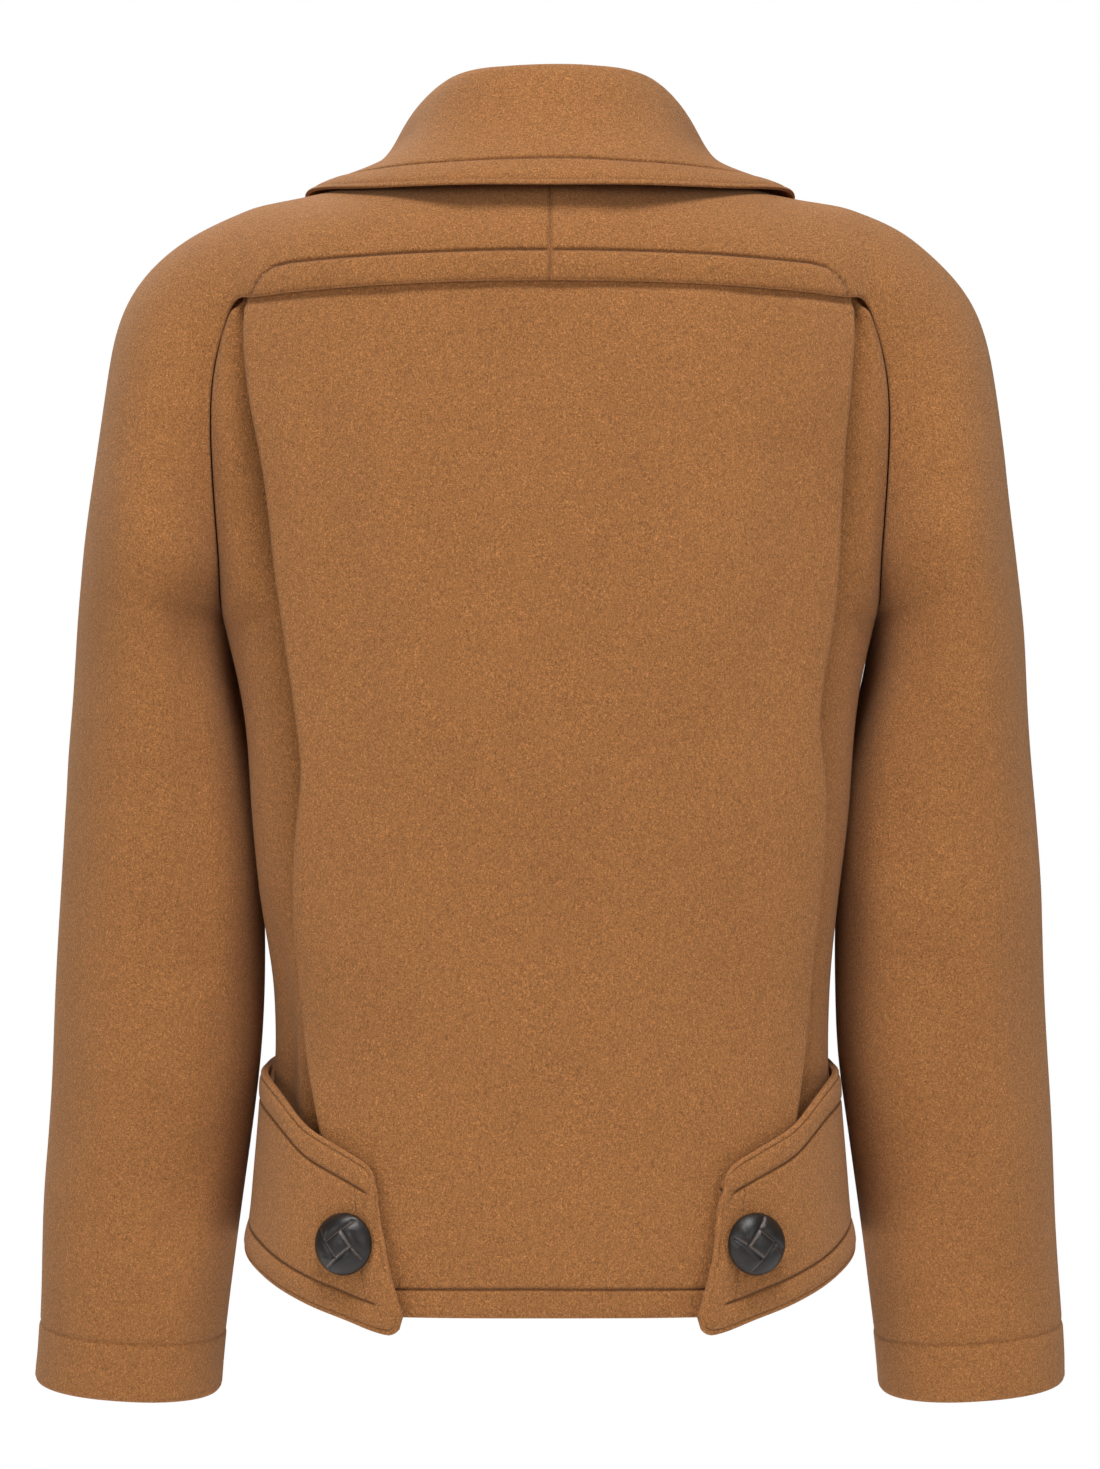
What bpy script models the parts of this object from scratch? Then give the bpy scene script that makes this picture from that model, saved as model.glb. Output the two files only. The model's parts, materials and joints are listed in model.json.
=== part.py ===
"""A short double-breasted wool coat in its worn shape, built piece by piece as a maker sews it.

Units are metres, +Z is up, the fronts face -Y and the wearer's left is +X.
The origin is where the wearer carries the coat: between the shoulders, level with the shoulder seams.

Every cloth piece is a patch of one outer form, the body, or of the sleeves that grow out of it.
A patch is a grid of points on that form, and its wall is the same grid moved inwards.
"""

import math

import bmesh
import bpy
import numpy as np
from mathutils import Vector

# ---------------------------------------------------------------- cloth and seams
CLOTH = 0.003          # thickness of one layer of felted coating
DOUBLED = 0.004        # thickness of the waistband, two layers pressed together
SEAM = 0.0003          # gap between two pieces at a seam
LAP = 0.0004           # gap between two pieces that lie on each other

# ---------------------------------------------------------------- body form
# One row for each level: half width at the side, depth to the back and to the front,
# squareness of the plan, and how far the arm presses the side in.
BODY_COLUMNS = ("z", "side", "back", "front", "square", "press")
BODY = (
    (-0.640, 0.1560, 0.114, 0.130, 2.9, 0.0000),
    (-0.602, 0.1590, 0.115, 0.131, 2.9, 0.0000),
    (-0.573, 0.1610, 0.115, 0.131, 2.9, 0.0000),
    (-0.556, 0.1588, 0.114, 0.130, 2.9, 0.0000),
    (-0.541, 0.1572, 0.113, 0.129, 2.9, 0.0000),
    (-0.514, 0.1550, 0.111, 0.128, 2.9, 0.0010),
    (-0.485, 0.1540, 0.110, 0.127, 2.9, 0.0030),
    (-0.436, 0.1580, 0.110, 0.128, 2.9, 0.0068),
    (-0.406, 0.1620, 0.111, 0.130, 3.0, 0.0107),
    (-0.372, 0.1660, 0.113, 0.132, 3.0, 0.0137),
    (-0.330, 0.1710, 0.116, 0.134, 3.0, 0.0157),
    (-0.282, 0.1750, 0.118, 0.136, 2.9, 0.0130),
    (-0.232, 0.1815, 0.119, 0.137, 2.8, 0.0055),
    (-0.199, 0.1880, 0.119, 0.136, 2.7, 0.0020),
    (-0.160, 0.1960, 0.118, 0.133, 2.6, 0.0000),
    (-0.124, 0.2000, 0.117, 0.128, 2.6, 0.0000),
    (-0.090, 0.1990, 0.115, 0.121, 2.6, 0.0000),
    (-0.061, 0.1960, 0.112, 0.114, 2.6, 0.0000),
)
PRESS_REACH = 0.050            # how far the arm's press spreads fore and aft
PRESS_CENTRE = -0.008
PRESS_STARTS = (0.050, 0.110)  # the press grows between these distances from the centre
NORMAL_REACH = 0.004           # height over which the form's normals are evened
MITRE_LIMIT = 0.75     # how much a wall may widen where two pieces meet at an angle
RIDGE_BLEND = 0.15     # how sharp a ridge is before its walls are fully mitred

# The top of the shoulders, by distance from the centre back.
RIDGE_COLUMNS = ("x", "height", "depth")
RIDGE = (
    (0.000, 0.0260, 0.000),
    (0.034, 0.0235, 0.000),
    (0.068, 0.0170, 0.000),
    (0.100, 0.0080, -0.001),
    (0.133, 0.0000, -0.002),
    (0.161, -0.0046, -0.004),
    (0.171, -0.0082, -0.005),
    (0.196, -0.0200, -0.006),
)
SHOULDER_ROUND = 2.3   # squareness of the shoulder seen from the side
YOKE_HEM = -0.054      # lower edge of the yoke at the centre back
YOKE_HEM_DROP = 0.007  # how much lower it is at the corner
YOKE_CORNER = 0.169    # where the yoke's edge turns down into the armhole
YOKE_HEM_LEVEL = -0.061

# ---------------------------------------------------------------- neck
NECK_SIDE = 0.068      # half width of the neck opening
NECK_BACK = 0.062      # its depth behind the shoulder ridge
RAGLAN_BEND = 0.8      # how the front seam of the yoke bows between the neck and the armhole

# ---------------------------------------------------------------- sleeves
# Above the armpit: the armhole seam by plan angle and height, and the point of the
# coat's outline that the section through it reaches, with the sleeve's fullness.
FAN_COLUMNS = ("angle", "z", "crest_x", "crest_z", "crest_y", "full_back", "full_front")
FAN = (
    (55.6, -0.061, 0.1710, -0.0082, -0.005, 0.0000, 0.0000),
    (58.2, -0.073, 0.1900, -0.0165, -0.006, 0.0001, 0.0001),
    (60.3, -0.087, 0.2065, -0.0275, -0.007, 0.0004, 0.0004),
    (61.8, -0.104, 0.2205, -0.0410, -0.007, 0.0011, 0.0010),
    (62.6, -0.124, 0.2315, -0.0570, -0.007, 0.0027, 0.0023),
    (63.6, -0.146, 0.2390, -0.0770, -0.007, 0.0058, 0.0047),
    (65.4, -0.168, 0.2440, -0.1020, -0.007, 0.0110, 0.0090),
    (68.0, -0.189, 0.2482, -0.1310, -0.007, 0.0187, 0.0152),
    (72.0, -0.208, 0.2515, -0.1600, -0.007, 0.0290, 0.0245),
    (79.5, -0.224, 0.2545, -0.1870, -0.007, 0.0425, 0.0415),
    (90.0, -0.232, 0.2572, -0.2130, -0.007, 0.0735, 0.0815),
)
# Below the armpit: the tube's inner and outer points, its middle and its half depths.
TUBE_COLUMNS = ("in_x", "in_z", "out_x", "out_z", "mid_y", "back", "front", "droop")
TUBE = (
    (0.1735, -0.257, 0.2600, -0.240, -0.007, 0.0765, 0.0725, 0.000),
    (0.1670, -0.287, 0.2622, -0.272, -0.006, 0.0730, 0.0705, 0.000),
    (0.1615, -0.320, 0.2647, -0.307, -0.005, 0.0698, 0.0688, 0.000),
    (0.1585, -0.355, 0.2672, -0.344, -0.004, 0.0670, 0.0670, 0.000),
    (0.1570, -0.400, 0.2700, -0.390, -0.004, 0.0650, 0.0650, 0.010),
    (0.1580, -0.450, 0.2726, -0.440, -0.006, 0.0625, 0.0630, 0.030),
    (0.1630, -0.500, 0.2752, -0.490, -0.010, 0.0600, 0.0600, 0.060),
    (0.1700, -0.550, 0.2785, -0.541, -0.016, 0.0575, 0.0575, 0.080),
    (0.1770, -0.600, 0.2818, -0.592, -0.023, 0.0550, 0.0550, 0.095),
    (0.1810, -0.634, 0.2842, -0.627, -0.028, 0.0535, 0.0535, 0.100),
    (0.1830, -0.6565, 0.2855, -0.650, -0.031, 0.0525, 0.0525, 0.100),
)
SLEEVE_ROUND = 2.25    # squareness of a sleeve's section
SLEEVE_AROUND = 18     # faces round a sleeve

# ---------------------------------------------------------------- back pleats
# The folded edge of the back panel on the wearer's left and right, by height.
PLEAT_COLUMNS = ("z", "left", "right")
PLEAT = (
    (-0.602, 0.1200, 0.1290),
    (-0.505, 0.1240, 0.1330),
    (-0.471, 0.1310, 0.1380),
    (-0.440, 0.1350, 0.1415),
    (-0.407, 0.1380, 0.1440),
    (-0.377, 0.1385, 0.1470),
    (-0.343, 0.1365, 0.1494),
    (-0.316, 0.1345, 0.1490),
    (-0.290, 0.1365, 0.1460),
    (-0.242, 0.1425, 0.1515),
    (-0.198, 0.1490, 0.1560),
    (-0.160, 0.1540, 0.1580),
    (-0.127, 0.1595, 0.1600),
    (-0.098, 0.1640, 0.1630),
    (-0.066, 0.1660, 0.1655),
    (-0.044, 0.1665, 0.1660),
)
PLEAT_TURN = 0.0040    # radius of the fold
PLEAT_UNDER = 0.009    # cloth turned under past the fold
PLEAT_REACH = 0.024    # how far the side panel runs in under the back panel
FOLD_STEPS = 4
BACK_ACROSS = (0.0, 0.24, 0.46, 0.66, 0.80, 0.89, 0.95, 1.0)
BACK_UNDER_YOKE = (0.010, -0.006)  # the panel's first levels, above and below the yoke's hem
BACK_UPPER = (-0.080, -0.105)      # the next ones, and then an even run down to the hem
BACK_LOWER_START = -0.135
BACK_DOWN = 12
SIDE_TUCK = (-0.046, -0.058)       # heights of the side panel under the yoke
SIDE_ACROSS = (0.0, 0.18, 0.37, 0.55, 0.70, 0.85, 1.0)
SIDE_RISE = (-0.02, 0.8)           # it rises from this angle before the fold to this share past it
SIDE_SEAM_LEVELS = (-0.270, -0.315, -0.360, -0.405, -0.446)
SIDE_UNDER_BAND = 3    # rows of the side panel behind the waistband
SIDE_UNDER_YOKE = 0.0065
BAND_SHORT = 0.004     # how far the side panel ends above the band's lower edge
PANEL_COLUMNS = ("z", "proud", "sunk_left", "sunk_right")
PANEL = (
    (-0.602, 0.0015, 0.0070, 0.0070),
    (-0.500, 0.0020, 0.0085, 0.0075),
    (-0.400, 0.0020, 0.0120, 0.0080),
    (-0.300, 0.0020, 0.0150, 0.0085),
    (-0.200, 0.0020, 0.0155, 0.0095),
    (-0.130, 0.0018, 0.0140, 0.0100),
    (-0.095, 0.0005, 0.0135, 0.0125),
    (-0.070, -0.0026, 0.0150, 0.0150),
    (-0.054, -0.0036, 0.0160, 0.0160),
    (-0.040, -0.0038, 0.0160, 0.0160),
)
BACK_HEM = -0.602

# A fold of the left side panel that runs down into the waistband.
FOLD_COLUMNS = ("z", "x", "depth")
FOLD = (
    (-0.600, 0.146, 0.000),
    (-0.520, 0.148, 0.006),
    (-0.466, 0.151, 0.010),
    (-0.424, 0.155, 0.006),
    (-0.380, 0.158, 0.000),
)
FOLD_WIDTH = 0.16      # in radians of plan angle

# ---------------------------------------------------------------- waistband
# By plan angle from the centre back: its top and bottom edges, and how far it stands out.
BAND_COLUMNS = ("angle", "top", "bottom", "out")
BAND = (
    (18.0, -0.5310, -0.6120, 0.0155),
    (22.0, -0.5275, -0.6110, 0.0120),
    (27.0, -0.5235, -0.6085, 0.0098),
    (32.0, -0.5180, -0.6045, 0.0090),
    (41.0, -0.5090, -0.5985, 0.0086),
    (48.5, -0.5020, -0.5935, 0.0082),
    (57.0, -0.4910, -0.5880, 0.0076),
    (65.0, -0.4830, -0.5830, 0.0070),
    (76.0, -0.4775, -0.5780, 0.0064),
    (90.0, -0.4745, -0.5725, 0.0060),
    (104.0, -0.4728, -0.5692, 0.0042),
    (120.0, -0.4710, -0.5660, 0.0032),
    (150.0, -0.4690, -0.5620, 0.0030),
    (180.0, -0.4680, -0.5600, 0.0030),
    (215.0, -0.4690, -0.5620, 0.0030),
)
TAB_END_TOP = 0.091    # distance of the tab's end from the centre back, at its top
TAB_END_BOTTOM = 0.076
TAB_CORNER = 0.011     # radius of the tab's corners
BAND_SEAM = 0.0004     # gap between the fronts and the top of the waistband

# ---------------------------------------------------------------- fronts
FRONT_EDGE = 0.080     # how far each front runs past the centre
BREAK = -0.200         # where the lapel starts to turn back
OVERLAP_OUT = 0.0050   # how far the right front stands off the left one
OVERLAP_FADE = (0.008, 0.048)      # it comes down between these distances past the left front's edge
OVERLAP_TOP = (-0.078, -0.040)     # and between these heights
FRONT_TOP_RUN = -0.050             # height of the front's inner edge where its armhole starts
ROLL_TOP = (0.066, 0.0155)   # the roll line's end at the neck, x and z
LAPEL_TIP = (0.134, -0.066)
LAPEL_BELLY = 0.10     # how far the lapel's outer edge bows out
# Where each lapel starts: height on the roll line, then x and z of its outer edge.
# The left one comes out from under the right front.
FACING_START = {"facing_left": (-0.074, 0.052, -0.117), "facing_right": (-0.194, -0.058, -0.190)}
LAPEL_TOP_Z = -0.012   # height at which the lapel's top edge leaves the roll line
ROLL_TRIM = 0.0042     # how far the front ends short of the roll line
ROLL_TRIM_FADE = 0.012 # height above and below the break over which it comes to that
FACING_ROWS = 10
FRONT_ACROSS = 11
BAND_OVER = 0.0058     # how far the upper end of the waistband stands off the lower one
BAND_OVER_FADE = (0.004, 0.040)    # it comes down between these distances past the front edge
BAND_FRONT_LEVEL = -0.520          # height at which the band's front end is level with the front's edge
BAND_MIDDLE = 0.6      # plan angle at which the band's height is taken for its tab
BAND_FRONT_ANGLE = 2.0 # plan angle past which the band lies on the front
BAND_AROUND = 24

# The lapel's cross section: share of its width, fixed distance, height off the front.
ROLL_PROFILE_COLUMNS = ("share", "along", "off")
ROLL_PROFILE = (
    (0.00, 0.0035, -0.0030),
    (0.00, -0.0015, -0.0024),
    (0.00, -0.0038, 0.0008),
    (0.00, -0.0022, 0.0052),
    (0.05, 0.0020, 0.0074),
    (0.20, 0.0030, 0.0072),
    (0.45, 0.0020, 0.0060),
    (0.75, 0.0010, 0.0050),
    (1.00, 0.0000, 0.0046),
)

# ---------------------------------------------------------------- collar
# Seven lines run along the collar, from its neck seam over the fold to its edge. Each has the
# same stations from the centre back to the front end, each x, y, z in millimetres.
COLLAR_LINES = {
    "neck": (
        (0, 60, 16), (27, 55, 16), (48, 41, 16), (63, 17, 16),
        (67, -15, 15), (65, -50, 10), (61, -71, 4),
    ),
    "stand": (
        (0, 57, 42), (26, 52, 42), (45, 36, 42), (57, 13, 42),
        (63, -18, 36), (62, -50, 25), (57, -71, 16),
    ),
    "fold": (
        (0, 58, 62), (25, 54, 62), (43, 37, 61.5), (51, 13, 59.5),
        (57, -19, 50), (58, -53, 35), (53, -75, 24),
    ),
    "turn": (
        (0, 69, 63), (29, 64, 62.5), (51, 45, 61), (63, 15, 58),
        (69, -23, 49), (70, -61, 33), (63, -85, 21),
    ),
    "fall": (
        (0, 79, 42), (34, 73, 42), (61, 51, 41.5), (75, 17, 41),
        (83, -25, 35), (84, -68, 18), (77, -92, 4),
    ),
    "stitch": (
        (0, 91, 20), (41, 85, 20), (72, 61, 21), (86, 22, 21.5),
        (99, -26, 17.5), (102, -71, 4), (96, -96, -11),
    ),
    "edge": (
        (0, 108, -2), (50, 104, -1.5), (98, 74, 0), (129, 22, 1.5),
        (136, -35, 0), (128, -76, -13), (113, -102, -29),
    ),
}
MILLIMETRE = 0.001
# How far each line keeps off the body form, in the same order.
COLLAR_CLEARANCE = {
    "neck": 0.0002, "stand": 0.0, "fold": 0.0, "turn": 0.0, "fall": 0.0095, "stitch": 0.0085, "edge": 0.0062,
}
COLLAR_STEPS = (0, 0.5, 1, 1.5, 2, 2.33, 2.67, 3, 3.5, 4, 4.5, 5, 5.5, 6)
COLLAR_CLOTH = 0.0025

# ---------------------------------------------------------------- buttons
BUTTON_RADIUS = 0.0165
BUTTON_DOME = 0.0075
BUTTON_RIM = 0.0030
SHANK_RADIUS = 0.0045
BUTTON_STANDOFF = 0.0016
BUTTON_SIDES = 14
BUTTON_MERGE = 0.00001 # distance under which the turned profile's ends become one point
TAB_BUTTON = (0.1045, -0.5640)           # x and z on each tab
FRONT_BUTTON_X = 0.055
FRONT_BUTTON_ROWS = (-0.222, -0.312, -0.402, -0.516)

CAMEL = (0.47, 0.26, 0.11, 1.0)
LEATHER = (0.022, 0.016, 0.013, 1.0)


# ================================================================ tables and curves
def column(table, names, name):
    return np.array([row[names.index(name)] for row in table], float)


def smooth(at, xs, ys):
    """A natural cubic spline through (xs, ys), read at the given places and held past its ends."""
    xs, ys = np.asarray(xs, float), np.asarray(ys, float)
    count = len(xs)
    step = np.diff(xs)
    matrix, right = np.eye(count), np.zeros(count)
    for i in range(1, count - 1):
        matrix[i, i - 1:i + 2] = step[i - 1], 2 * (step[i - 1] + step[i]), step[i]
        right[i] = 6 * ((ys[i + 1] - ys[i]) / step[i] - (ys[i] - ys[i - 1]) / step[i - 1])
    bend = np.linalg.solve(matrix, right)
    at = np.clip(np.asarray(at, float), xs[0], xs[-1])
    i = np.clip(np.searchsorted(xs, at) - 1, 0, count - 2)
    h, left, reach = step[i], at - xs[i], xs[i + 1] - at
    return (
        bend[i] * reach ** 3 / (6 * h) + bend[i + 1] * left ** 3 / (6 * h)
        + (ys[i] / h - bend[i] * h / 6) * reach + (ys[i + 1] / h - bend[i + 1] * h / 6) * left
    )


def mirrored_spline(at, xs, ys):
    """A spline through points and their mirror image about 0, so that it is level at the centre."""
    xs, ys = np.asarray(xs, float), np.asarray(ys, float)
    sign = -1.0 if ys[0] == 0 and np.ptp(ys) > 0 else 1.0
    return smooth(at, np.concatenate([-xs[:0:-1], xs]), np.concatenate([sign * ys[:0:-1], ys]))


def read(table, names, name, at):
    """A column of a table, read against its first column."""
    return smooth(at, column(table, names, names[0]), column(table, names, name))


def step_up(value, low, high):
    """0 below low, 1 above high, with an even S between them."""
    t = np.clip((value - low) / (high - low), 0, 1)
    return t * t * (3 - 2 * t)


def power(value, exponent):
    return np.abs(value) ** exponent


def squared(share, squareness=SHOULDER_ROUND):
    """The other coordinate of a rounded square's outline, for a share of its half width."""
    return (1 - np.clip(share, 0, 1) ** squareness) ** (1 / squareness)


# ================================================================ the body form
def yoke_hem(x):
    return YOKE_HEM - YOKE_HEM_DROP * (np.minimum(np.abs(x), YOKE_CORNER) / YOKE_CORNER) ** 2


def body(angle, z, out=0.0):
    """A point of the body form: plan angle in radians from the centre back, + to the wearer's left."""
    angle, z = np.broadcast_arrays(np.asarray(angle, float), np.asarray(z, float))
    level = np.minimum(z, YOKE_HEM_LEVEL)
    side, square, press = (read(BODY, BODY_COLUMNS, n, level) for n in ("side", "square", "press"))
    depth = np.where(
        np.cos(angle) >= 0,
        read(BODY, BODY_COLUMNS, "back", level),
        -read(BODY, BODY_COLUMNS, "front", level),
    )
    x = side * np.sign(np.sin(angle)) * power(np.sin(angle), 2 / square)
    y = depth * power(np.cos(angle), 2 / square)
    press = press * step_up(np.abs(x), *PRESS_STARTS)
    x = x - np.sign(x) * press * np.exp(-(((y - PRESS_CENTRE) / PRESS_REACH) ** 2))
    hem, top = yoke_hem(x), read(RIDGE, RIDGE_COLUMNS, "height", np.abs(x))
    crest = read(RIDGE, RIDGE_COLUMNS, "depth", np.abs(x))
    over = np.clip((z - hem) / (top - hem), 0, 1)
    middle = crest * step_up(over, 0, 1)
    y = middle + (y - middle) * squared(over)
    point = np.stack([x, y, z], axis=-1)
    if np.any(out):
        point = point + np.asarray(out)[..., None] * body_normal(angle, z)
    return point


def body_normal(angle, z):
    """The way out of the body form, evened over a few millimetres so that its levels leave no kink."""
    across = body(angle + 1e-3, z) - body(angle - 1e-3, z)
    up = body(angle, z + NORMAL_REACH) - body(angle, z - NORMAL_REACH)
    return -unit(np.cross(across, up))


def unit(v):
    return v / np.maximum(np.linalg.norm(v, axis=-1, keepdims=True), 1e-12)


def angle_at(x, z, front=False):
    """The plan angle at which the form reaches that x at that height, press left out."""
    level = np.minimum(z, YOKE_HEM_LEVEL)
    side = read(BODY, BODY_COLUMNS, "side", level)
    square = read(BODY, BODY_COLUMNS, "square", level)
    angle = np.arcsin(np.clip(power(x / side, square / 2), 0, 1)) * np.sign(x)
    return math.pi - angle if front else angle


# ================================================================ walls
def surface_normals(surface, u, v):
    small = 1e-4
    du = surface(u + small, v) - surface(u - small, v)
    dv = surface(u, v + small) - surface(u, v - small)
    return unit(np.cross(du, dv))


def trimmed(points, by):
    """The grid with each border drawn in along the cloth by half a seam gap."""
    points = points.copy()
    for axis in (0, 1):
        p = np.moveaxis(points, axis, 0)
        first, last = p[0] + by[axis][0] * unit(p[1] - p[0]), p[-1] + by[axis][1] * unit(p[-2] - p[-1])
        p[0], p[-1] = first, last
    return points


def material(name, colour, roughness):
    found = bpy.data.materials.get(name) or bpy.data.materials.new(name)
    found.use_nodes = True
    shader = found.node_tree.nodes["Principled BSDF"]
    shader.inputs["Base Color"].default_value = colour
    shader.inputs["Roughness"].default_value = roughness
    shader.inputs["Metallic"].default_value = 0.0
    return found


def add_object(name, mesh, finish):
    mesh.materials.append(finish)
    mesh.shade_smooth()
    mesh.set_sharp_from_angle(angle=math.radians(50))
    obj = bpy.data.objects.new(name, mesh)
    bpy.data.collections["coat"].objects.link(obj)
    return obj


def wall_between(name, outer, inner, finish):
    """A closed wall between two grids of the same size, with a rim round its border."""
    rows, cols = outer.shape[:2]
    index = np.arange(rows * cols).reshape(rows, cols)
    quads = np.stack([index[:-1, :-1], index[1:, :-1], index[1:, 1:], index[:-1, 1:]], -1).reshape(-1, 4)
    border = np.concatenate([index[0, :-1], index[:-1, -1], index[-1, :0:-1], index[:0:-1, 0]])
    following = np.roll(border, -1)
    far = rows * cols
    rim = np.stack([border, following, following + far, border + far], -1)
    faces = np.concatenate([quads, quads[:, ::-1] + far, rim])
    mesh = bpy.data.meshes.new(name)
    mesh.from_pydata(np.concatenate([outer.reshape(-1, 3), inner.reshape(-1, 3)]), [], faces)
    turned = bmesh.new()
    turned.from_mesh(mesh)
    bmesh.ops.recalc_face_normals(turned, faces=turned.faces)
    turned.to_mesh(mesh)
    turned.free()
    return add_object(name, mesh, finish)


HALF_SEAM = (SEAM / 2, SEAM / 2)


def cloth(name, surface, rows, cols, thickness=CLOTH, inward=1.0, mitres=()):
    """A piece of cloth: the surface at every row and column, and the same points moved inwards.

    A mitre gives the way inwards along one border where the next piece leaves at an angle:
    (rows it covers, which column, one direction for each of those rows).
    """
    u, v = np.meshgrid(rows, cols, indexing="ij")
    outer = trimmed(surface(u, v), (HALF_SEAM, HALF_SEAM))
    way = -inward * surface_normals(surface, u, v)
    for covered, border, directions in mitres:
        way[covered, border] = directions
    return wall_between(name, outer, outer + thickness * way, material("coating", CAMEL, 0.9))


# ================================================================ sleeves with the yoke
YOKE_ROWS = (0.0, 0.026, 0.050, 0.068, 0.086, 0.106, 0.126, 0.146, 0.160)
KEY_NAMES = (
    "seam_x", "seam_z", "past_back", "past_front", "crest_x", "crest_z", "crest_y", "back", "front", "droop",
)
RAGLAN_ROW = 3         # the section where the neck opening ends and the raglan seam starts
FIRST_FAN = len(YOKE_ROWS)
FIRST_TUBE = FIRST_FAN + len(FAN)
LAST_KEY = FIRST_TUBE + len(TUBE) - 1


def sleeve_keys():
    """One row for each section: its seam and crest points, how far past its middle each seam lies,
    and its depths behind and before."""
    keys = []
    for x in YOKE_ROWS:
        hem = float(yoke_hem(x))
        crest = float(read(RIDGE, RIDGE_COLUMNS, "depth", x))
        top = float(read(RIDGE, RIDGE_COLUMNS, "height", x))
        back = body(angle_at(x, hem), hem)[1]
        front = body(angle_at(x, hem, front=True), hem)[1]
        keys.append((x, hem, 0.0, 0.0, x, top, crest, back - crest, crest - front, 0.0))
    for angle, z, ex, ez, ey, full_back, full_front in FAN:
        back = body(math.radians(angle), z)
        front = body(math.pi - math.radians(angle), z)[1]
        behind, before = back[1] - ey + full_back, ey - front + full_front
        past = squared(1 - full_back / behind), squared(1 - full_front / before)
        keys.append((back[0], z, *past, ex, ez, ey, behind, before, 0.0))
    for in_x, in_z, out_x, out_z, mid, back, front, droop in TUBE:
        keys.append((in_x, in_z, 1.0, 1.0, out_x, out_z, mid, back, front, droop))
    return np.array(keys)


def neck_share(x):
    """Where the yoke's upper border lies on its section: 90 degrees at the hem, 0 on the ridge
    and negative in front."""
    hem = yoke_hem(x)
    depth = body(angle_at(x, hem), hem)[..., 1]
    behind = NECK_BACK * np.sqrt(np.clip(1 - (x / NECK_SIDE) ** 2, 0, 1))
    back_side = np.arcsin(np.clip(behind / depth, 0, 1) ** (SHOULDER_ROUND / 2))
    along = np.clip((x - NECK_SIDE) / (YOKE_CORNER - NECK_SIDE), 0, 1)
    return np.where(x < NECK_SIDE, back_side, -math.pi / 2 * along ** RAGLAN_BEND)


def sleeve_surface(keys, side):
    """The sleeve and its half of the yoke: u counts the sections, and v runs from 0 at the back seam
    to 1 at the front seam."""
    places = np.arange(len(keys))

    def surface(u, v):
        k = {name: smooth(u, places, keys[:, i]) for i, name in enumerate(KEY_NAMES)}
        squareness = SHOULDER_ROUND + (SLEEVE_ROUND - SHOULDER_ROUND) * step_up(u, FIRST_FAN, FIRST_TUBE)
        behind, before = (np.clip(k[name], 0, 1) for name in ("past_back", "past_front"))
        foot = math.pi / 2 + np.arcsin(behind ** (squareness / 2))
        top = -math.pi / 2 - np.arcsin(before ** (squareness / 2))
        top = np.where(u <= FIRST_FAN - 0.5, neck_share(k["seam_x"]), top)
        angle = foot + (top - foot) * v
        inner = np.where(angle >= 0, behind, before)
        depth = np.where(angle >= 0, k["back"], k["front"])
        along = (inner + np.sign(np.cos(angle)) * power(np.cos(angle), 2 / squareness)) / (1 + inner)
        y = k["crest_y"] + np.sign(angle) * depth * power(np.sin(angle), 2 / squareness)
        x = k["seam_x"] + (k["crest_x"] - k["seam_x"]) * along
        z = k["seam_z"] + (k["crest_z"] - k["seam_z"]) * along - k["droop"] * (y - k["crest_y"])
        return np.stack([side * x, y, z], axis=-1)

    return surface


def armhole_mitres(keys, side):
    """The way inwards along the armhole for each section of the fan, as (sleeve, panel) behind and before.

    Over a ridge both walls share the line between them. In a valley they part, so each keeps its own.
    """
    sleeve = sleeve_surface(keys, side)
    u = FIRST_FAN + np.arange(len(FAN), dtype=float)
    angle = side * np.radians(column(FAN, FAN_COLUMNS, "angle"))
    z = column(FAN, FAN_COLUMNS, "z")
    pairs = []
    near = 0.002
    small = side * 1e-3
    for share, plan, step in ((near, angle, -small), (1 - near, side * math.pi - angle, small)):
        of_sleeve = -side * surface_normals(sleeve, u, np.full(len(u), share))
        of_body = body_normal(plan, z)
        into_panel = unit(body(plan + step, z) - body(plan, z))
        ridge = step_up(-(of_sleeve * into_panel).sum(-1), 0.0, RIDGE_BLEND)[:, None]
        shared = unit(of_sleeve + of_body)
        shared = shared / np.maximum((shared * of_body).sum(-1), MITRE_LIMIT)[:, None]
        pairs.append([-(own + (shared - own) * ridge) for own in (of_sleeve, of_body)])
    return pairs


def raglan_line(x):
    """The front seam of the yoke: height and plan angle for each distance from the centre."""
    hem, top = yoke_hem(x), read(RIDGE, RIDGE_COLUMNS, "height", x)
    z = hem + (top - hem) * np.cos(neck_share(x)) ** (2 / SHOULDER_ROUND)
    return z, angle_at(x, hem, front=True)


def build_sleeves():
    keys = sleeve_keys()
    sections = np.arange(0, LAST_KEY + 1, 1.0)
    share = np.linspace(0, 1, SLEEVE_AROUND + 1)
    fan = np.arange(FIRST_FAN, FIRST_TUBE)
    raglan = np.arange(RAGLAN_ROW, FIRST_FAN)
    raglan_z, raglan_angle = raglan_line(np.array(YOKE_ROWS[RAGLAN_ROW:]))
    for name, side in (("sleeve_yoke_left", 1.0), ("sleeve_yoke_right", -1.0)):
        behind, before = armhole_mitres(keys, side)
        cloth(
            name, sleeve_surface(keys, side), sections, share, inward=-side,
            mitres=(
                (fan, 0, behind[0]),
                (fan, -1, before[0]),
                (raglan, -1, -body_normal(side * raglan_angle, raglan_z)),
            ),
        )


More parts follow.
